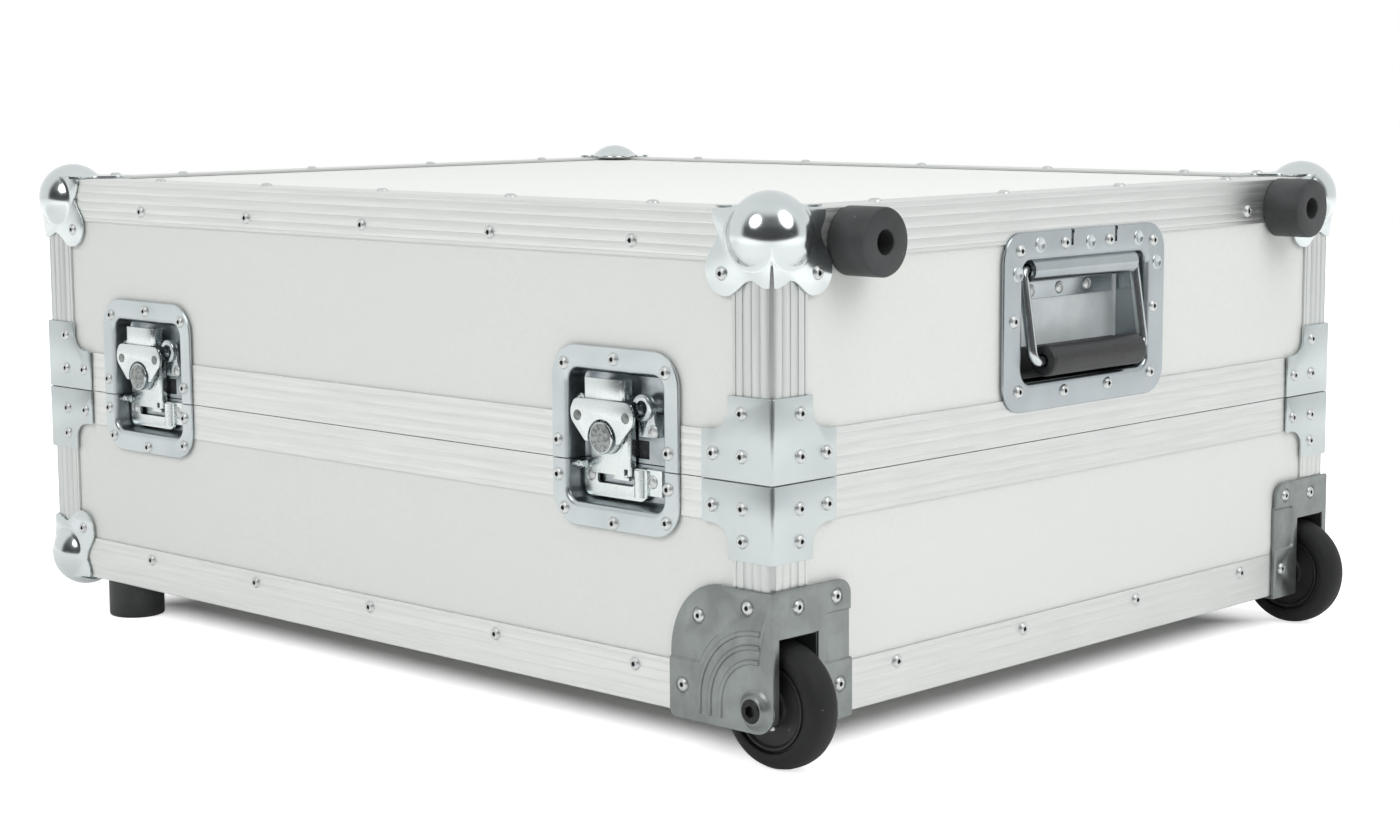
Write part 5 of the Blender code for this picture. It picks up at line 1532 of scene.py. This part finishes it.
def world():
    """White to the camera, a plain level for light, and a dark room behind the camera in reflections."""
    scene_world = bpy.data.worlds.new("studio")
    scene_world.use_nodes = True
    bpy.context.scene.world = scene_world
    tree = scene_world.node_tree
    nodes, links = tree.nodes, tree.links
    background = nodes["Background"]
    path = nodes.new("ShaderNodeLightPath")
    way = nodes.new("ShaderNodeTexCoord").outputs["Generated"]
    toward = ramp(nodes, links, along(nodes, links, way, (*TOWARD_CAMERA, 0.0)), 0.04, 0.30)
    below = ramp(nodes, links, along(nodes, links, way, (0.0, 0.0, 1.0)), 0.92, 0.66)
    dark = nodes.new("ShaderNodeMath")
    dark.operation = "MULTIPLY"
    links.new(toward, dark.inputs[0])
    links.new(below, dark.inputs[1])
    low = ramp(nodes, links, along(nodes, links, way, (0.0, 0.0, 1.0)), 0.62, 0.2)
    room = mix_colour(nodes, links, low, (0.2, 0.205, 0.205), (0.075, 0.075, 0.08))
    mirrored = mix_colour(nodes, links, dark.outputs[0], (0.94, 0.95, 0.95), room)
    lit = mix_colour(nodes, links, path.outputs["Is Glossy Ray"], (0.47, 0.472, 0.47), mirrored)
    seen = mix_colour(nodes, links, path.outputs["Is Camera Ray"], lit, (1.0, 1.0, 1.0))
    links.new(seen, background.inputs["Color"])
    background.inputs["Strength"].default_value = 1.0


def along(nodes, links, vector, direction):
    """How far a vector reaches along a direction."""
    node = nodes.new("ShaderNodeVectorMath")
    node.operation = "DOT_PRODUCT"
    node.inputs[1].default_value = direction
    links.new(vector, node.inputs[0])
    return node.outputs["Value"]


def ramp(nodes, links, value, start, end):
    """A smooth step from 0 at the start to 1 at the end."""
    node = nodes.new("ShaderNodeMapRange")
    node.interpolation_type = "SMOOTHSTEP"
    node.inputs["From Min"].default_value = start
    node.inputs["From Max"].default_value = end
    links.new(value, node.inputs["Value"])
    return node.outputs["Result"]


def mix_colour(nodes, links, factor, first, second):
    node = nodes.new("ShaderNodeMix")
    node.data_type = "RGBA"
    links.new(factor, node.inputs[0])
    for socket, value in ((node.inputs[6], first), (node.inputs[7], second)):
        if isinstance(value, tuple):
            socket.default_value = (*value, 1.0)
        else:
            links.new(value, socket)
    return node.outputs[2]


def floor():
    """A pale floor that keeps the case's shadow, whose glow fades out round the case's footprint as a painted shadow
    over the real one, and ends in the dark room's direction in reflections.
    """
    bm = bmesh.new()
    bmesh.ops.create_circle(bm, cap_ends=True, segments=96, radius=5.0)
    obj = shape(bm)
    obj.name = "floor"
    finish = Finish("floor_paper", (0.93, 0.93, 0.93), 0.9)
    nodes, links = finish.nodes, finish.links
    finish.tint(finish.spread(finish.noise(400.0, 2.0), 0.3, 0.7, 0.0, 0.3), (0.95, 0.95, 0.95))
    finish.shader.inputs["Specular IOR Level"].default_value = 0.0
    path = nodes.new("ShaderNodeLightPath")
    beyond = ramp(nodes, links, along(nodes, links, finish.place, (*TOWARD_CAMERA, 0.0)), 1.4, 1.6)
    hidden = finish.math("MULTIPLY", beyond, path.outputs["Is Glossy Ray"])
    finish.tint(hidden, (0.05, 0.05, 0.05))
    away = beside(finish, nodes, links)
    # Near the footprint the glow fades to almost nothing: a painted shadow that follows the case's outline, laid over
    # the real shadow.
    near = ramp(nodes, links, away, -0.065, -0.014)
    far = ramp(nodes, links, away, 0.4, 1.1)
    glow = finish.spread(far, 0.0, 1.0, 0.74, 1.0)
    glow = finish.math("MULTIPLY", glow, finish.spread(near, 0.0, 1.0, 0.02, 1.0))
    mirrored = finish.math("MULTIPLY", finish.spread(far, 0.0, 1.0, 0.2, 0.6), path.outputs["Is Glossy Ray"])
    plain = finish.math("ADD", path.outputs["Is Camera Ray"], mirrored)
    glow = finish.math("MULTIPLY", glow, plain)
    shown = finish.math("SUBTRACT", 1.0, hidden)
    links.new(finish.math("MULTIPLY", glow, shown), finish.shader.inputs["Emission Strength"])
    finish.shader.inputs["Emission Color"].default_value = (1.0, 1.0, 1.0, 1.0)
    obj.data.materials.append(finish.material)


def beside(finish, nodes, links):
    """How far a point of the floor lies outside the body's footprint, below zero under the case."""
    size = nodes.new("ShaderNodeVectorMath")
    size.operation = "ABSOLUTE"
    links.new(finish.place, size.inputs[0])
    outside = nodes.new("ShaderNodeVectorMath")
    outside.operation = "SUBTRACT"
    outside.inputs[1].default_value = (LENGTH / 2 * MM, DEPTH / 2 * MM, 1.0)
    links.new(size.outputs["Vector"], outside.inputs[0])
    split = nodes.new("ShaderNodeSeparateXYZ")
    links.new(outside.outputs["Vector"], split.inputs[0])
    return finish.math("MAXIMUM", split.outputs["X"], split.outputs["Y"])


def main():
    camera()
    world()
    lamps()
    floor()
    finish_nodes()
    rivet = rivet_shape(RIVET_DOME, RIVET, RIVET_HOLE)
    clinch = rivet_shape(CLINCH, FLANGE_ZINC)
    flat = rivet_shape(FLAT_HEAD, RIVET)
    pin = rivet_shape(SUNK_PIN, DULL)
    edge_rivets(rivet)
    ball_corners(rivet)
    braces()
    brace_rivets(rivet)
    castors(rivet)
    feet()
    latches(rivet, pin, flat)
    handles(rivet, clinch, flat)
    foams()
    for source in (rivet, clinch, flat, pin):
        discard(source)


main()
bpy.context.scene.view_settings.view_transform = "Standard"
